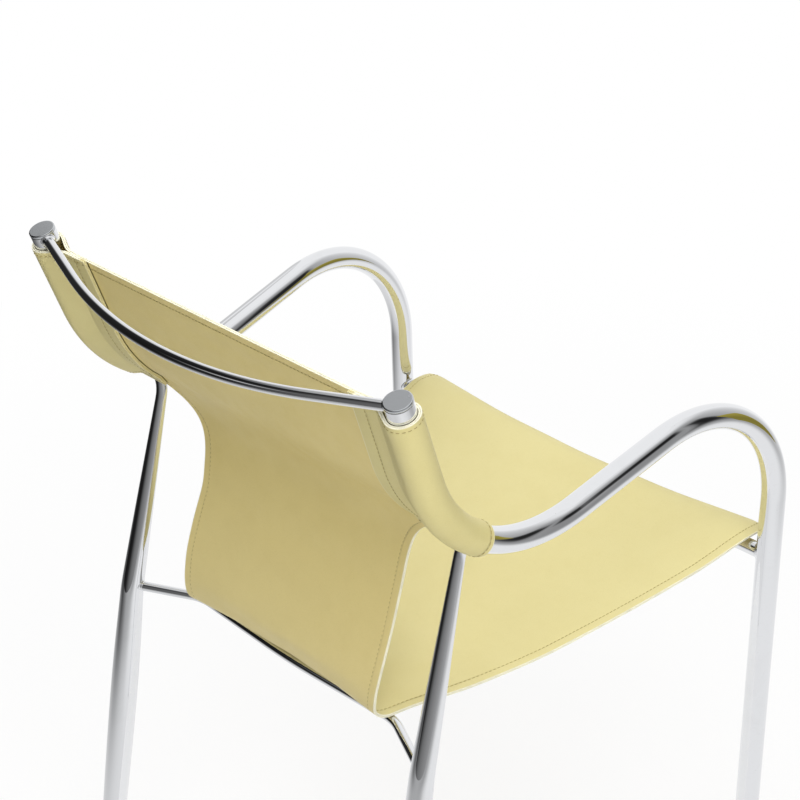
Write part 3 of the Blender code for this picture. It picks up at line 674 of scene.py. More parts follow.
        top = np.full(upper.shape[1], z.rim_row)
        top[PANEL] = z.edge_row
        crease = np.abs(side - z.flap + z.seam) + 0.0005
        row = np.minimum(np.minimum(np.abs(side - z.flap_row), crease), np.abs(s - z.sleeve_top - top))
        tail_row = np.minimum(np.abs(rim - 0.005), np.abs(flap_side - z.flap_row))
        # Painted shadow line beside the flap's edge: its distance from the middle on the panel's columns.
        shadow_line = np.full(upper.shape[:2], NO_SHADOW_LINE)
        shadow_line[:, HALF_N:-HALF_N] = self.post_frame(self.back_s)[0][:, :1] - z.flap + self.SHADOW_LINE
        passed = run_of(rows[:, :2])[:, None] < z.sleeve_end - z.rim_slant - z.panel_end
        column = np.arange(upper.shape[1])
        return {"row_gap": whole(row, np.abs(inside - z.edge_row), tail_row),
                "edge_gap": whole(np.minimum(side, s - z.sleeve_top), inside, np.minimum(rim, flap_side)),
                "shadow_line_at": whole(shadow_line, np.where(passed, shadow_line[-1, HALF_N], NO_SHADOW_LINE), NO_SHADOW_LINE),
                "turned_edge": whole(np.minimum(column, column[::-1]) < 3, 0, flap_side < 0.006)}


def stitches(lines, size, lift):
    """Short rounded threads along lines of (points, normals): at even steps each stitch is a capsule with
    six sides, its ends dipping into the leather, laid along the line."""
    share = np.array([-0.5, -0.42, -0.25, 0.0, 0.25, 0.42, 0.5])[:, None] * size.stitch
    thick = np.array([0.35, 0.8, 1.0, 1.0, 1.0, 0.8, 0.35])[:, None, None] * size.thread / 2
    dip = lift + np.array([-1.0, -0.45, 0.0, 0.12, 0.0, -0.45, -1.0])[:, None] * size.thread / 2 * 1.2
    near = 0.002
    parts = []
    for points, normals in lines:
        run = run_of(points)
        at = np.arange(size.stitch_pitch / 2, run[-1] - size.stitch_pitch / 2, size.stitch_pitch)
        ahead = unit(along(points, np.minimum(at + near, run[-1])) - along(points, np.maximum(at - near, 0)))
        normal = sampled(normals, run, at)
        normal = unit(normal - (normal * ahead).sum(-1, keepdims=True) * ahead)
        spine = along(points, at)[:, None] + ahead[:, None] * share + normal[:, None] * dip
        cross = spokes(np.cross(normal, ahead), normal, STITCH_SIDES)
        parts.append((spine[:, :, None] + cross[:, None] * thick).reshape(len(at), -1, 3))
    body = np.concatenate(parts)
    n, per = body.shape[:2]
    ring = np.arange(STITCH_SIDES)
    ends = np.stack([ring[::-1], ring + per - STITCH_SIDES])
    base = (np.arange(n) * per)[:, None, None]
    quads = (grid_faces(len(share), STITCH_SIDES, True) + base).reshape(-1, 4).tolist()
    return body.reshape(-1, 3), quads + (ends + base).reshape(-1, STITCH_SIDES).tolist()


# Materials

class Nodes:
    """Short hand for one node tree."""

    def __init__(self, tree):
        self.tree = tree

    def add(self, kind, inputs=None, **settings):
        node = self.tree.nodes.new(kind)
        for key, value in settings.items():
            setattr(node, key, value)
        for key, value in (inputs or {}).items():
            if isinstance(value, bpy.types.NodeSocket):
                self.tree.links.new(value, node.inputs[key])
            else:
                node.inputs[key].default_value = value
        return node

    def place(self):
        return self.add("ShaderNodeTexCoord").outputs["Object"]

    def attribute(self, name):
        return self.add("ShaderNodeAttribute", attribute_name=name).outputs["Fac"]

    def noise(self, vector, scale, detail=3.0, rough=0.5, distort=0.0):
        return self.add("ShaderNodeTexNoise", {"Vector": vector, "Scale": scale, "Detail": detail,
                                               "Roughness": rough, "Distortion": distort}).outputs["Fac"]

    def ramp(self, value, low, high, to_low=0.0, to_high=1.0):
        return self.add("ShaderNodeMapRange", {"Value": value, "From Min": low, "From Max": high,
                                               "To Min": to_low, "To Max": to_high},
                        interpolation_type="SMOOTHSTEP").outputs["Result"]

    def math(self, operation, a, b=0.0):
        return self.add("ShaderNodeMath", {0: a, 1: b}, operation=operation).outputs["Value"]

    def plus(self, a, b):
        return self.math("ADD", a, b)

    def times(self, a, b):
        return self.math("MULTIPLY", a, b)

    def scaled(self, vector, factor):
        node = self.add("ShaderNodeVectorMath", {0: vector, "Scale": factor}, operation="SCALE")
        return node.outputs["Vector"]

    def mix(self, factor, a, b):
        """Mix of two colours by a factor."""
        return self.add("ShaderNodeMix", {0: factor, 6: a, 7: b}, data_type="RGBA").outputs[2]

    def background_seen(self):
        """1 for the rays that see the white background: from the camera, off gloss and through glass."""
        path = self.add("ShaderNodeLightPath").outputs
        seen = self.math("MAXIMUM", path["Is Camera Ray"], path["Is Glossy Ray"])
        return self.math("MAXIMUM", seen, path["Is Transmission Ray"])

    def shows(self, shader):
        self.add("ShaderNodeOutputMaterial", {"Surface": shader})

    def principled(self, color, rough, height=None, bump=0.0, depth=0.0, metallic=0.0):
        """Principled shader with a colour, a roughness and, through a bump, a height."""
        inputs = {"Base Color": color, "Roughness": rough, "Metallic": metallic}
        if height is not None:
            relief = self.add("ShaderNodeBump", {"Strength": bump, "Distance": depth, "Height": height})
            inputs["Normal"] = relief.outputs["Normal"]
        self.shows(self.add("ShaderNodeBsdfPrincipled", inputs).outputs["BSDF"])


def rgba(color, share=1.0):
    return (*(c * share for c in color), 1.0)


def new_material(name):
    """Empty node material and the short hand of its tree."""
    mat = bpy.data.materials.new(name)
    mat.use_nodes = True
    mat.node_tree.nodes.clear()
    return mat, Nodes(mat.node_tree)


def group(name, inputs):
    """Empty shader node group with inputs of the defaults' kinds; colour, roughness and height come out."""
    tree = bpy.data.node_groups.new(name, "ShaderNodeTree")
    for label, value in inputs.items():
        kind = "NodeSocketColor" if isinstance(value, tuple) else "NodeSocketFloat"
        tree.interface.new_socket(label, in_out="INPUT", socket_type=kind).default_value = value
    for label, kind in (("Color", "Color"), ("Roughness", "Float"), ("Height", "Float")):
        tree.interface.new_socket(label, in_out="OUTPUT", socket_type="NodeSocket" + kind)
    n = Nodes(tree)
    return n, n.add("NodeGroupInput").outputs


def hide_group():
    """Leather: broad tone, faint mottle, pores and creases, and a little paler low down as a painted sheen on
    the seat.
    A shallow groove follows the sewing rows, darkened with painted shade, a pale worn line the free edges,
    and a dark painted shadow line lies on the panel just inside the flap's edge."""
    n, given = group("hide_surface", {
        "Base": (0.7, 0.6, 0.3, 1), "Tone": (0.6, 0.5, 0.25, 1), "Cut": (0.9, 0.9, 0.8, 1), "Row Gap": 1.0,
        "Edge Gap": 1.0, "Shadow Line At": NO_SHADOW_LINE, "Pores": 0.5})
    where = n.place()
    broad = n.noise(where, 5.0, 3.0, 0.55, 0.4)
    mottle = n.noise(where, 42.0, 4.0, 0.6)
    fine = n.noise(where, 900.0, 2.0, 0.6)
    cells = n.add("ShaderNodeTexVoronoi", {"Vector": where, "Scale": 820.0, "Randomness": 1.0},
                  feature="DISTANCE_TO_EDGE").outputs["Distance"]
    crease = n.ramp(cells, 0.0, 0.12)
    creasing = n.noise(where, 130.0, 3.0, 0.55, 1.2)
    tone = n.plus(n.ramp(broad, 0.30, 0.72, 0.10, 0.55), n.ramp(mottle, 0.35, 0.75, -0.06, 0.14))
    groove = n.ramp(given["Row Gap"], 0.0002, 0.0019)
    axes = n.add("ShaderNodeSeparateXYZ", {"Vector": where}).outputs
    color = n.mix(tone, given["Base"], given["Tone"])
    # Painted sheen: the hide mixes a little towards the pale cut colour low down, on the seat.
    color = n.mix(n.ramp(axes["Z"], 0.49, 0.62, 0.07, 0.0), color, given["Cut"])
    # Painted shade: the hide darkens along the sewing rows' grooves; the pores' edges darken a little as
    # grain.
    shade = n.times(n.ramp(crease, 0.0, 1.0, 0.95, 1.0), n.ramp(groove, 0.0, 1.0, 0.84, 1.0))
    # Painted shadow: the panel darkens in a thin line just inside the flap's edge.
    shadow_line = n.math("ABSOLUTE", n.math("SUBTRACT", n.math("ABSOLUTE", axes["X"]), given["Shadow Line At"]))
    shade = n.times(shade, n.ramp(shadow_line, 0.0008, 0.0024, 0.30, 1.0))
    worn = n.times(n.ramp(given["Edge Gap"], 0.0006, 0.0013, 0.45, 0.0), n.ramp(mottle, 0.3, 0.6, 0.6, 1.0))
    rough = n.plus(n.ramp(mottle, 0.3, 0.75, 0.46, 0.56), n.times(fine, 0.06))
    grain = n.times(n.plus(crease, n.times(fine, 0.5)), given["Pores"])
    grain = n.plus(grain, n.times(creasing, 0.9))
    n.add("NodeGroupOutput", {"Color": n.scaled(n.mix(worn, color, given["Cut"]), shade), "Roughness": rough,
                              "Height": n.plus(grain, n.times(groove, 5.0))})
    return n.tree


def metal_group():
    """Plated metal: handling smudges, wiping streaks and tiny pits as a mask, with a very shallow height."""
    n, given = group("plate_surface", {"Base": (0.8, 0.8, 0.8, 1), "Polish": 0.05, "Smudge": 0.1,
                                       "Scale": 1.0})
    where = n.scaled(n.place(), given["Scale"])
    smear = n.ramp(n.noise(where, 14.0, 5.0, 0.62, 0.8), 0.52, 0.78)
    wipe = n.ramp(n.noise(where, 75.0, 3.0, 0.6, 2.2), 0.50, 0.80)
    pits = n.ramp(n.noise(where, 620.0, 2.0, 0.5), 0.70, 0.82)
    film = n.plus(n.times(smear, 0.7), n.times(wipe, 0.3))
    dirt = n.plus(n.times(film, 0.10), n.times(pits, 0.25))
    height = n.math("SUBTRACT", n.noise(where, 30.0, 3.0, 0.5), n.times(pits, 0.6))
    n.add("NodeGroupOutput", {"Color": n.mix(dirt, given["Base"], (0.30, 0.29, 0.27, 1)), "Height": height,
                              "Roughness": n.plus(given["Polish"], n.times(film, given["Smudge"]))})
    return n.tree


def surface(name, tree, values, attributes, *finish):
    """Principled material fed by a group, whose gaps come from the named attributes of the mesh."""
    n = new_material(name)[1]
    inputs = {socket: n.attribute(label) for socket, label in attributes.items()}
    made = n.add("ShaderNodeGroup", {**values, **inputs}, node_tree=tree).outputs
    n.principled(made["Color"], made["Roughness"], made["Height"], *finish)


def cut_material(name, color, turned_color):
    """Raw leather edge: pale, with fine fibres; the flaps' edges are turned and keep the leather's tone."""
    n = new_material(name)[1]
    where = n.place()
    fibre = n.noise(where, 1500.0, 3.0, 0.65)
    cloud = n.noise(where, 90.0, 3.0, 0.55)
    tone = n.plus(n.ramp(fibre, 0.35, 0.7, 0.0, 0.4), n.ramp(cloud, 0.4, 0.75, 0.0, 0.4))
    color = n.mix(tone, rgba(color), rgba(color, 0.72))
    color = n.mix(n.times(n.attribute("turned_edge"), 0.85), color, rgba(turned_color))
    n.principled(color, 0.85, fibre, 0.4, 0.0002)


def thread_material(name, color):
    """Twisted sewing thread: fine twist in tone."""
    n = new_material(name)[1]
    twist = n.noise(n.place(), 2400.0, 2.0, 0.5)
    n.principled(n.mix(n.ramp(twist, 0.35, 0.65), rgba(color), rgba(color, 0.6)), 0.6)


def glide_material(name, color):
    """Moulded plastic with a fine spark texture and scuffs."""
    n = new_material(name)[1]
    where = n.place()
    spark = n.noise(where, 1300.0, 2.0, 0.6)
    scuff = n.ramp(n.noise(where, 160.0, 4.0, 0.7, 1.5), 0.56, 0.8)
    tone = n.mix(scuff, rgba(color), (0.16, 0.16, 0.16, 1))
    n.principled(tone, n.ramp(scuff, 0.0, 1.0, 0.42, 0.65), spark, 0.3, 0.0001)


def ready(context):
    """Sizes of tubes and sling, once the chair's materials are made."""
    scene = context.scene
    color = scene.armchair_finish
    if "chrome_plate" not in bpy.data.materials:
        hide, plate = hide_group(), metal_group()
        chrome = {"Base": rgba(color.chrome), "Polish": 0.025, "Smudge": 0.08, "Scale": 1.0}
        disc = {"Base": rgba(color.disc), "Polish": 0.20, "Smudge": 0.25, "Scale": 5.0}
        surface("chrome_plate", plate, chrome, {}, 0.05, 0.0002, 1.0)
        surface("disc_plate", plate, disc, {}, 0.08, 0.0002, 1.0)
        gaps = {"Row Gap": "row_gap", "Edge Gap": "edge_gap"}
        face = {"Base": rgba(color.face), "Tone": rgba(color.face_tone), "Pores": 0.35}
        lining = {"Base": rgba(color.lining), "Tone": rgba(color.lining_tone), "Pores": 0.45}
        cut = {"Cut": rgba(color.cut)}
        surface("face_leather", hide, {**face, **cut}, gaps, 0.35, 0.00035)
        # The lining carries the painted shadow line beside the flaps.
        surface("lining_leather", hide, {**lining, **cut}, {**gaps, "Shadow Line At": "shadow_line_at"}, 0.35, 0.00035)
        cut_material("cut_hide", color.cut, color.face)
        thread_material("thread", color.thread)
        glide_material("glide_plastic", color.glide)
    return scene.armchair_tubes, scene.armchair_sling


# Operators

class ARMCHAIR_OT_side_tubes(bpy.types.Operator):
    """Bent side tubes with their front legs, humps, arms and posts"""
    bl_idname = "armchair.side_tubes"
    bl_label = "Side Tubes"

    def execute(self, context):
        size, _ = ready(context)
        for side, label in SIDES:
            line = side_line(size, side)
            line = along(line, np.linspace(0, run_of(line)[-1] - size.disc - FIT, 900))
            add_tube("side_tube_" + label, "side_frame_" + label, evenly(line, 0.0045), size.tube / 2,
                     TUBE_SIDES, (side, 0, 0))
        return {"FINISHED"}


class ARMCHAIR_OT_post_discs(bpy.types.Operator):
    """Flat discs that close the post tops"""
    bl_idname = "armchair.post_discs"
    bl_label = "Post Discs"

    def execute(self, context):
        size, _ = ready(context)
        radius, edge = size.tube / 2, 0.0010
        turn = np.linspace(0, math.pi / 2, 6)
        rim = np.column_stack([radius - edge + edge * np.sin(turn), -edge + edge * np.cos(turn)])
        foot = [(radius, -size.disc + CHAMFER), (radius - CHAMFER, -size.disc), (PLUG_R, -size.disc),
                (PLUG_R, -size.disc - PLUG_L), (0.0, -size.disc - PLUG_L)]
        crown = [(0.0, 0.0), (radius * 0.5, 0.0), (radius * 0.9, 0.0)]
        for side, label in SIDES:
            line = side_line(size, side)
            verts, faces = turned(np.vstack([crown, rim, foot]), line[-1], line[-1] - line[-2], DISC_SIDES)
            piece = add_piece("disc_" + label, verts, faces, ["disc_plate"], "post_disc_" + label)
            bevel(piece, 0.00015, 1, 50)
        return {"FINISHED"}


class ARMCHAIR_OT_rear_legs(bpy.types.Operator):
    """Tapered rear legs that spring from the arm tubes"""
    bl_idname = "armchair.rear_legs"
    bl_label = "Rear Legs"

    def execute(self, context):
        size, _ = ready(context)
        for side, label in SIDES:
            line, radii = leg_line(size, side)
            add_tube("tapered_leg_" + label, "rear_leg_" + label, line, radii, TUBE_SIDES, (side, 0, 0))
        return {"FINISHED"}


class ARMCHAIR_OT_cross_bars(bpy.types.Operator):
    """Bowed top rod, straight front bar and cranked rear bar"""
    bl_idname = "armchair.cross_bars"
    bl_label = "Cross Bars"

    def execute(self, context):
        size, _ = ready(context)
        x, y, _ = size.arm_corner
        end = np.array([x - size.tube / 2 + BAR_SUNK, y, size.front_bar_z])
        front = np.linspace(mirrored(end, -1), end, 80)
        rod, rear = (along(line, np.linspace(inset, run_of(line)[-1] - inset, 160))
                     for line, inset in ((rod_line(size), ROD_INSET), (rear_bar_line(size), REAR_BAR_INSET)))
        for name, node, line, width in (("bowed_rod", "top_rod", rod, size.rod),
                                        ("seat_bar_front", "front_bar", front, size.front_bar),
                                        ("seat_bar_rear", "rear_bar", rear, size.rear_bar)):
            add_tube(name, node, line, width / 2, ROD_SIDES, (0, 0, 1))
        return {"FINISHED"}


class ARMCHAIR_OT_welds(bpy.types.Operator):
    """Small concave weld fillets where rods and legs meet the tubes"""
    bl_idname = "armchair.welds"
    bl_label = "Welds"

    def execute(self, context):
        size, _ = ready(context)
        for side, label in SIDES:
            post = side_line(size, side)
            rod, rear = rod_line(size)[::-side], rear_bar_line(size)[::-side]
            x, y, _ = mirrored(size.arm_corner, side)
            bar = np.array([x, y, size.front_bar_z])
            leg, radii = leg_line(size, side)
            near = int(np.argmin(np.abs(leg[:, 2] - rear[0, 2])))
            tube = size.tube / 2
            verts, faces = joined([
                weld_fillet(rod[0], rod[0] - rod[6], size.rod / 2, rod[0], post[-1] - post[-2], tube,
                            size.weld),
                weld_fillet(bar, (side, 0, 0), size.front_bar / 2, bar, (0, 0, 1), tube, size.weld),
                weld_fillet(rear[0], rear[0] - rear[1], size.rear_bar / 2, leg[near],
                            leg[near + 3] - leg[near - 3], radii[near], size.weld)])
            add_piece("welds_" + label, verts, faces, ["chrome_plate"])
        return {"FINISHED"}


class ARMCHAIR_OT_glides(bpy.types.Operator):
    """Plastic glides plugged into the leg ends"""
    bl_idname = "armchair.glides"
    bl_label = "Glides"

    def execute(self, context):
        size, _ = ready(context)
        for side, label in SIDES:
            x, y, _ = mirrored(size.arm_corner, side)
            foot = mirrored(size.leg_foot, side)
            self.glide("front", label, size.tube / 2, np.array([x, y, 0.0]), size.glide,
                       np.array([0.0, 0.0, 1.0]))
            self.glide("rear", label, size.leg_widths[0] / 2, foot, size.glide,
                       foot - mirrored(size.leg_knee, side))
        return {"FINISHED"}

    @staticmethod
    def glide(end, label, radius, base, height, lean):
        """Pad with a rounded foot and a plug, turned about Z and then sheared along the leg."""
        turn = np.linspace(0, math.pi / 2, 6)
        foot = np.column_stack([radius + GLIDE_R * (np.cos(turn) - 1), GLIDE_R * (1 - np.sin(turn))])
        plug, top = radius - 0.0023, height + GLIDE_PLUG
        upper = [(0.0, top), (plug - 0.001, top), (plug, top - 0.002), (plug, height),
                 (radius - CHAMFER, height), (radius, height - CHAMFER)]
        verts, faces = turned(np.vstack([upper, foot, [(0.0, 0.0)]]), np.zeros(3), (0, 0, 1), TUBE_SIDES)
        verts[:, :2] += verts[:, 2:] * (lean[:2] / lean[2])
        add_piece(f"{end}_foot_{label}", verts + base, faces, ["glide_plastic"],
                  f"{end}_glide_{label}")


class ARMCHAIR_OT_sling(bpy.types.Operator):
    """Face and lining hides of the sling, with pale cut edges"""
    bl_idname = "armchair.sling"
    bl_label = "Sling"

    def execute(self, context):
        tubes, size = ready(context)
        sling = Sling(size, tubes)
        verts, faces, gaps = sling.mesh()
        middle = new_mesh("sling_middle", verts, faces.tolist())
        normals = np.empty(len(verts) * 3)
        middle.vertices.foreach_get("normal", normals)
        normals = normals.reshape(-1, 3)
        bpy.data.meshes.remove(middle)
        widths = np.linalg.norm(np.diff(sling.upper(), axis=1), axis=-1).sum(1)
        down = round(float(size.panel_end - size.sleeve_top + run_of(sling.profile()[:, :2])[-1]), 3)
        for label, way in (("face", 1.0), ("lining", -1.0)):
            skin = verts + normals * (way * size.hide_gap / 2)
            piece = add_piece("hide_" + label, skin, faces.tolist(), [label + "_leather", "cut_hide"],
                              "sling_" + label)
            for name, values in gaps.items():
                layer = piece.data.attributes.new(name, "FLOAT", "POINT")
                layer.data.foreach_set("value", values.astype(np.float32))
            wall = piece.modifiers.new("hide", "SOLIDIFY")
            wall.thickness = size.hide
            wall.offset = way
            wall.use_even_offset = True
            wall.material_offset_rim = 1
            bevel(piece, 0.00022, 2, 55, 1)
        return {"FINISHED"}


class ARMCHAIR_OT_sewing(bpy.types.Operator):
    """Rows of thread along the free edges and the flaps"""
    bl_idname = "armchair.sewing"
    bl_label = "Sewing"

    def execute(self, context):
        tubes, size = ready(context)
        sling = Sling(size, tubes)
        rows, upper, tail = sling.profile(), sling.upper(), sling.sleeve_tail()[0]
        s = np.linspace(size.sleeve_top + 0.004, size.panel_end - 0.003, 60)
        centre, rear = sling.post_frame(s)
        flap = centre + rear * (sling.shift(s) + sling.layer)[:, None]
        flap[:, 0] -= size.flap - size.flap_row
        at = size.flap_row / (size.flap - size.seam) * (FLAP_N - 1)
        column = int(at)
        run_on = tail[:-2, column] + (tail[:-2, column + 1] - tail[:-2, column]) * (at - column)
        flap, rear = np.vstack([flap, run_on]), np.vstack([rear, np.repeat(rear[-1:], len(run_on), 0)])
        rim = tail[-3]
        rim_normal = unit(np.cross(np.gradient(rim, axis=0), tail[-2] - tail[-4]))
        on_face, on_lining = [], []
        for side, _ in SIDES:
            points, normal = self.on_rows(sling, rows, side * (1 - size.edge_row / rows[:, 2:3]))
            on_face.append((points - normal * 0.0003, normal))
            on_lining.append((points, -normal))
            on_face.append((mirrored(flap, side), mirrored(rear, side)))
            on_lining.append((mirrored(flap, side), -mirrored(rear, side)))
            on_face.append((mirrored(rim, side), mirrored(rim_normal, side)))
        for depth, part in ((size.edge_row, PANEL), (size.rim_row, slice(0, HALF_N - 4)),
                            (size.rim_row, slice(4 - HALF_N, None))):
            points, normal = self.on_back(sling, upper, depth, part)
            on_face.append((points, normal))
            on_lining.append((points, -normal))
        for label, lines in (("face", on_face), ("lining", on_lining)):
            verts, faces = stitches(lines, size, sling.sheet / 2 + 0.00005)
            add_piece("thread_" + label, verts, faces, ["thread"])
        return {"FINISHED"}

    @staticmethod
    def on_back(sling, upper, depth, part):
        """Line across the back at a depth under its top edge, with the outward normal."""
        s = sling.back_s
        at = sling.size.sleeve_top + depth
        k = int(np.searchsorted(s, at))
        w = (at - s[k - 1]) / (s[k] - s[k - 1])
        row = (upper[k - 1] * (1 - w) + upper[k] * w)[part]
        return row, unit(np.cross(np.gradient(row, axis=0), (upper[k] - upper[k - 1])[part]))

    @staticmethod
    def on_rows(sling, rows, f):
        """Line on the lower rows at the given share of the half width, with the upward normal."""
        points = sling.lower_points(rows, f)[:, 0]
        across = sling.lower_points(rows, f * 0.96)[:, 0] - points
        return points, unit(np.cross(np.gradient(points, axis=0), across) * np.sign(f))


# Stage

ROOM_R, ROOM_TOP, EYE = 1.85, 4.4, 0.75
FACING = math.atan2(1.08, -1.138)
# Tone of the dim room at eye height, by degrees from the viewer's direction
ROOM_TONES = ((-166, 0.75), (-152, 0.66), (-143, 0.45), (-132, 0.03), (-90, 0.01), (-70, 0.02), (-40, 0.18),
              (0, 0.30), (25, 0.40), (40, 0.50), (50, 0.38), (60, 0.46), (66, 0.30), (70, 0.30), (76, 0.34),
              (90, 0.40), (118, 0.70), (132, 0.95))
# Name, width, watts, place and aim of each lamp
LAMPS = (("overhead", 2.4, 39.0, (0.95, -0.20, 2.50), (0.05, -0.05, 0.5)),
         ("fill", 1.4, 21.5, (-1.15, 0.9, 2.1), (0.0, 0.1, 0.5)),
         ("rear", 1.4, 9.0, (-1.0, 1.2, 0.9), (0.0, 0.1, 0.6)),
         ("side", 1.4, 3.0, (-1.5, -0.4, 1.3), (0.0, 0.0, 0.5)))
WHITE = (1, 1, 1, 1)
YELLOW = (0.40, 0.34, 0.07, 1)
CAMERA_AT = (-1.13801, 1.08062, 1.51718)
CAMERA_TURNS = (46.585, 29.434, -1.762)
FOCAL, PICTURE, SENSOR = 1848.08, 800.0, 36.0


class ARMCHAIR_OT_stage(bpy.types.Operator):
    """Pale floor, soft lamps, a dim room that only light and polished metal see, and the camera"""
    bl_idname = "armchair.stage"
    bl_label = "Stage"

    def execute(self, context):
        scene = context.scene
        scene.view_settings.view_transform = "Standard"
        self.floor(scene.armchair_finish.floor)
        self.room()
        self.light()
        self.world(scene)
        self.camera(scene)
        return {"FINISHED"}

    @staticmethod
    def floor(color):
        """Wide flat floor that glows white for the camera and for metal, less near the chair and its
        shadow."""
        mat, n = new_material("floor")
        diffuse = n.add("ShaderNodeBsdfDiffuse", {"Color": rgba(color)}).outputs["BSDF"]
        glow = n.add("ShaderNodeEmission", {"Color": WHITE, "Strength": 1.0}).outputs["Emission"]
        away = n.add("ShaderNodeVectorMath", {0: n.place()}, operation="LENGTH").outputs["Value"]
        share = n.times(n.background_seen(), n.ramp(away, 0.4, 1.7, 0.80, 1.0))
        n.shows(n.add("ShaderNodeMixShader", {"Fac": share, 1: diffuse, 2: glow}).outputs["Shader"])
        corners = 30.0 * np.array([(-1, -1, 0), (1, -1, 0), (1, 1, 0), (-1, 1, 0)])
        new_object("floor", new_mesh("floor", corners, [(0, 1, 2, 3)], [mat]))

    def room(self):
        """Dim room round the viewer's side of the chair, which only light and polished metal see: part of a
        cylinder with a tone for each angle and height, and two painted reflections that only metal sees: a
        floor sheet fading into it, and one yellow sheet."""
        turn = np.linspace(-166, 132, 150)
        height = np.linspace(0.0, ROOM_TOP, 34)[:, None]
        rise = np.degrees(np.arctan2(height - EYE, ROOM_R))
        tones = np.interp(turn, *zip(*ROOM_TONES))
        above = np.interp(turn, [-145, -115, 60, 80], [0.56, 0.75, 0.75, 0.95])
        low_end = np.interp(turn, [-66, -46, 46, 56], [46, 20, 20, 30])
        light = smooth((rise - low_end) / np.interp(turn, [46, 56], [16, 26]))
        doorway = np.exp(-((turn - 84) / 6) ** 6 - ((rise - 4) / 21) ** 6)
        shelf = np.exp(-((turn - 66) / 7) ** 6 - ((rise - 19) / 11) ** 6)
        window = np.exp(-((turn + 150) / 13) ** 2 - ((rise - 32) / 8) ** 2)
        lamp = np.exp(-((turn + 70) / 9) ** 2 - ((rise - 14) / 3.5) ** 2)
        tone = (tones + (above - tones) * light) * (1 - 0.95 * np.maximum(doorway, shelf))
        self.glowing("dim_room", turn, ROOM_R, height, tone + 0.8 * lamp + 0.45 * window)
        reach = np.linspace(0.3, ROOM_R, 32)[:, None]
        start, span, near = (np.interp(turn, [-30, 10], ends)
                             for ends in ((0.3, 0.9), (1.2, 0.75), (0.84, 0.93)))
        depth = np.interp(turn, [-90, -50, -30, 10], [0.92, 0.60, 0.60, 0.90])
        tone = near + (tones - near) * depth * smooth((reach - start) / span)
        floor = self.glowing("dim_floor", turn, reach, 0.002, tone)
        turn = np.linspace(88.5, 109, 12)
        share = np.linspace(0, 1, 9)[:, None]
        height = 0.003 + share * np.interp(turn, [88.5, 103, 109], [0.80, 0.80, 0.30])
        tone = np.interp(share, [0, 0.45, 1], [0.68, 0.58, 1.0]) + 0 * height
        reflection_sheet = self.glowing("yellow_reflection_sheet", turn, 1.8, height, tone, YELLOW)
        # Painted reflections: the floor sheet and the yellow sheet are seen by polished metal only, never by
        # diffuse light, shadows or the camera.
        for sheet in (floor, reflection_sheet):
            sheet.visible_diffuse = sheet.visible_shadow = False

    @staticmethod
    def glowing(name, turn, reach, height, tone, color=WHITE):
        """Sheet that glows with its own tone at each point and is hidden from the camera: a grid of angles
        from the viewer's direction and of reaches or heights."""
        angle = FACING + np.radians(turn)
        axes = (reach * np.cos(angle), reach * np.sin(angle), height + 0 * tone)
        points = np.stack(np.broadcast_arrays(*axes), axis=-1)
        mat, n = new_material(name)
        shader = n.add("ShaderNodeEmission", {"Color": color, "Strength": n.attribute("tone")})
        n.shows(shader.outputs["Emission"])
        mesh = new_mesh(name, points.reshape(-1, 3), grid_faces(*tone.shape).tolist(), [mat])
        layer = mesh.attributes.new("tone", "FLOAT", "POINT")
        layer.data.foreach_set("value", np.ascontiguousarray(tone, dtype=np.float32).ravel())
        obj = new_object(name, mesh)
        obj.visible_camera = False
        return obj

    @staticmethod
    def light():
        """Four wide soft lamps: over the chair, high on the viewer's side, low behind it and beside it."""
        for name, width, energy, place, target in LAMPS:
            lamp = bpy.data.lights.new(name, "AREA")
            lamp.size = width
            lamp.energy = energy
            obj = new_object(name, lamp)
            way = Vector(target) - Vector(place)
            obj.matrix_world = Matrix.Translation(place) @ way.to_track_quat("-Z", "Y").to_matrix().to_4x4()
            obj.visible_camera = False
            obj.visible_glossy = False

    @staticmethod
    def world(scene):
        """White for the camera and for metal, a soft grey light for the rest."""
        world = bpy.data.worlds.new("studio")
        world.use_nodes = True
        world.node_tree.nodes.clear()
        n = Nodes(world.node_tree)
        strength = n.ramp(n.background_seen(), 0.0, 1.0, 0.48, 1.0)
        back = n.add("ShaderNodeBackground", {"Color": WHITE, "Strength": strength}).outputs["Background"]
        n.add("ShaderNodeOutputWorld", {"Surface": back})
        scene.world = world

    @staticmethod
    def camera(scene):
        """Camera at the photograph's angle: the view direction from its turn and tilt, then rolled."""
        turn, tilt, roll = (math.radians(v) for v in CAMERA_TURNS)
        ahead = np.array([math.sin(turn) * math.cos(tilt), -math.cos(turn) * math.cos(tilt), -math.sin(tilt)])
        right = unit(np.cross(ahead, [0.0, 0.0, 1.0]))
        up = np.cross(right, ahead)
        data = bpy.data.cameras.new("camera")
        data.sensor_width = SENSOR
        data.lens = FOCAL / PICTURE * SENSOR
        matrix = np.eye(4)
        matrix[:3, 0] = right * math.cos(roll) + up * math.sin(roll)
        matrix[:3, 1] = up * math.cos(roll) - right * math.sin(roll)
        matrix[:3, 2] = -ahead
        matrix[:3, 3] = CAMERA_AT
        scene.camera = new_object("camera", data)
        scene.camera.matrix_world = Matrix(matrix.tolist())


STEPS = (ARMCHAIR_OT_side_tubes, ARMCHAIR_OT_post_discs, ARMCHAIR_OT_rear_legs, ARMCHAIR_OT_cross_bars,
         ARMCHAIR_OT_welds, ARMCHAIR_OT_glides, ARMCHAIR_OT_sling, ARMCHAIR_OT_sewing, ARMCHAIR_OT_stage)


class ARMCHAIR_PT_panel(bpy.types.Panel):
    """Lists the steps that build the chair"""
    bl_idname = "ARMCHAIR_PT_panel"
    bl_label = "Sling Armchair"
    bl_space_type = "VIEW_3D"
    bl_region_type = "UI"
    bl_category = "Armchair"

    def draw(self, context):
        for step in STEPS:
            self.layout.operator(step.bl_idname)


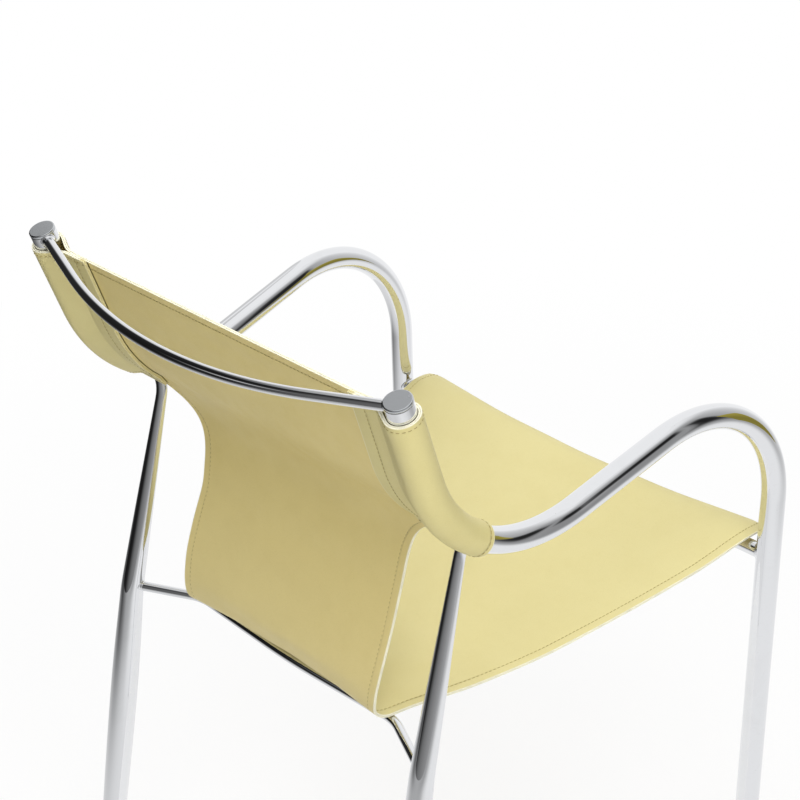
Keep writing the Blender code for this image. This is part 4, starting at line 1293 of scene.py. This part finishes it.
CLASSES = (TubeSettings, SlingSettings, FinishSettings, *STEPS, ARMCHAIR_PT_panel)


def register():
    for cls in CLASSES:
        bpy.utils.register_class(cls)
    bpy.types.Scene.armchair_tubes = PointerProperty(type=TubeSettings)
    bpy.types.Scene.armchair_sling = PointerProperty(type=SlingSettings)
    bpy.types.Scene.armchair_finish = PointerProperty(type=FinishSettings)


def unregister():
    del bpy.types.Scene.armchair_finish
    del bpy.types.Scene.armchair_sling
    del bpy.types.Scene.armchair_tubes
    for cls in reversed(CLASSES):
        bpy.utils.unregister_class(cls)


def main():
    register()
    for step in STEPS:
        area, name = step.bl_idname.split(".")
        getattr(getattr(bpy.ops, area), name)()


if __name__ == "__main__":
    main()
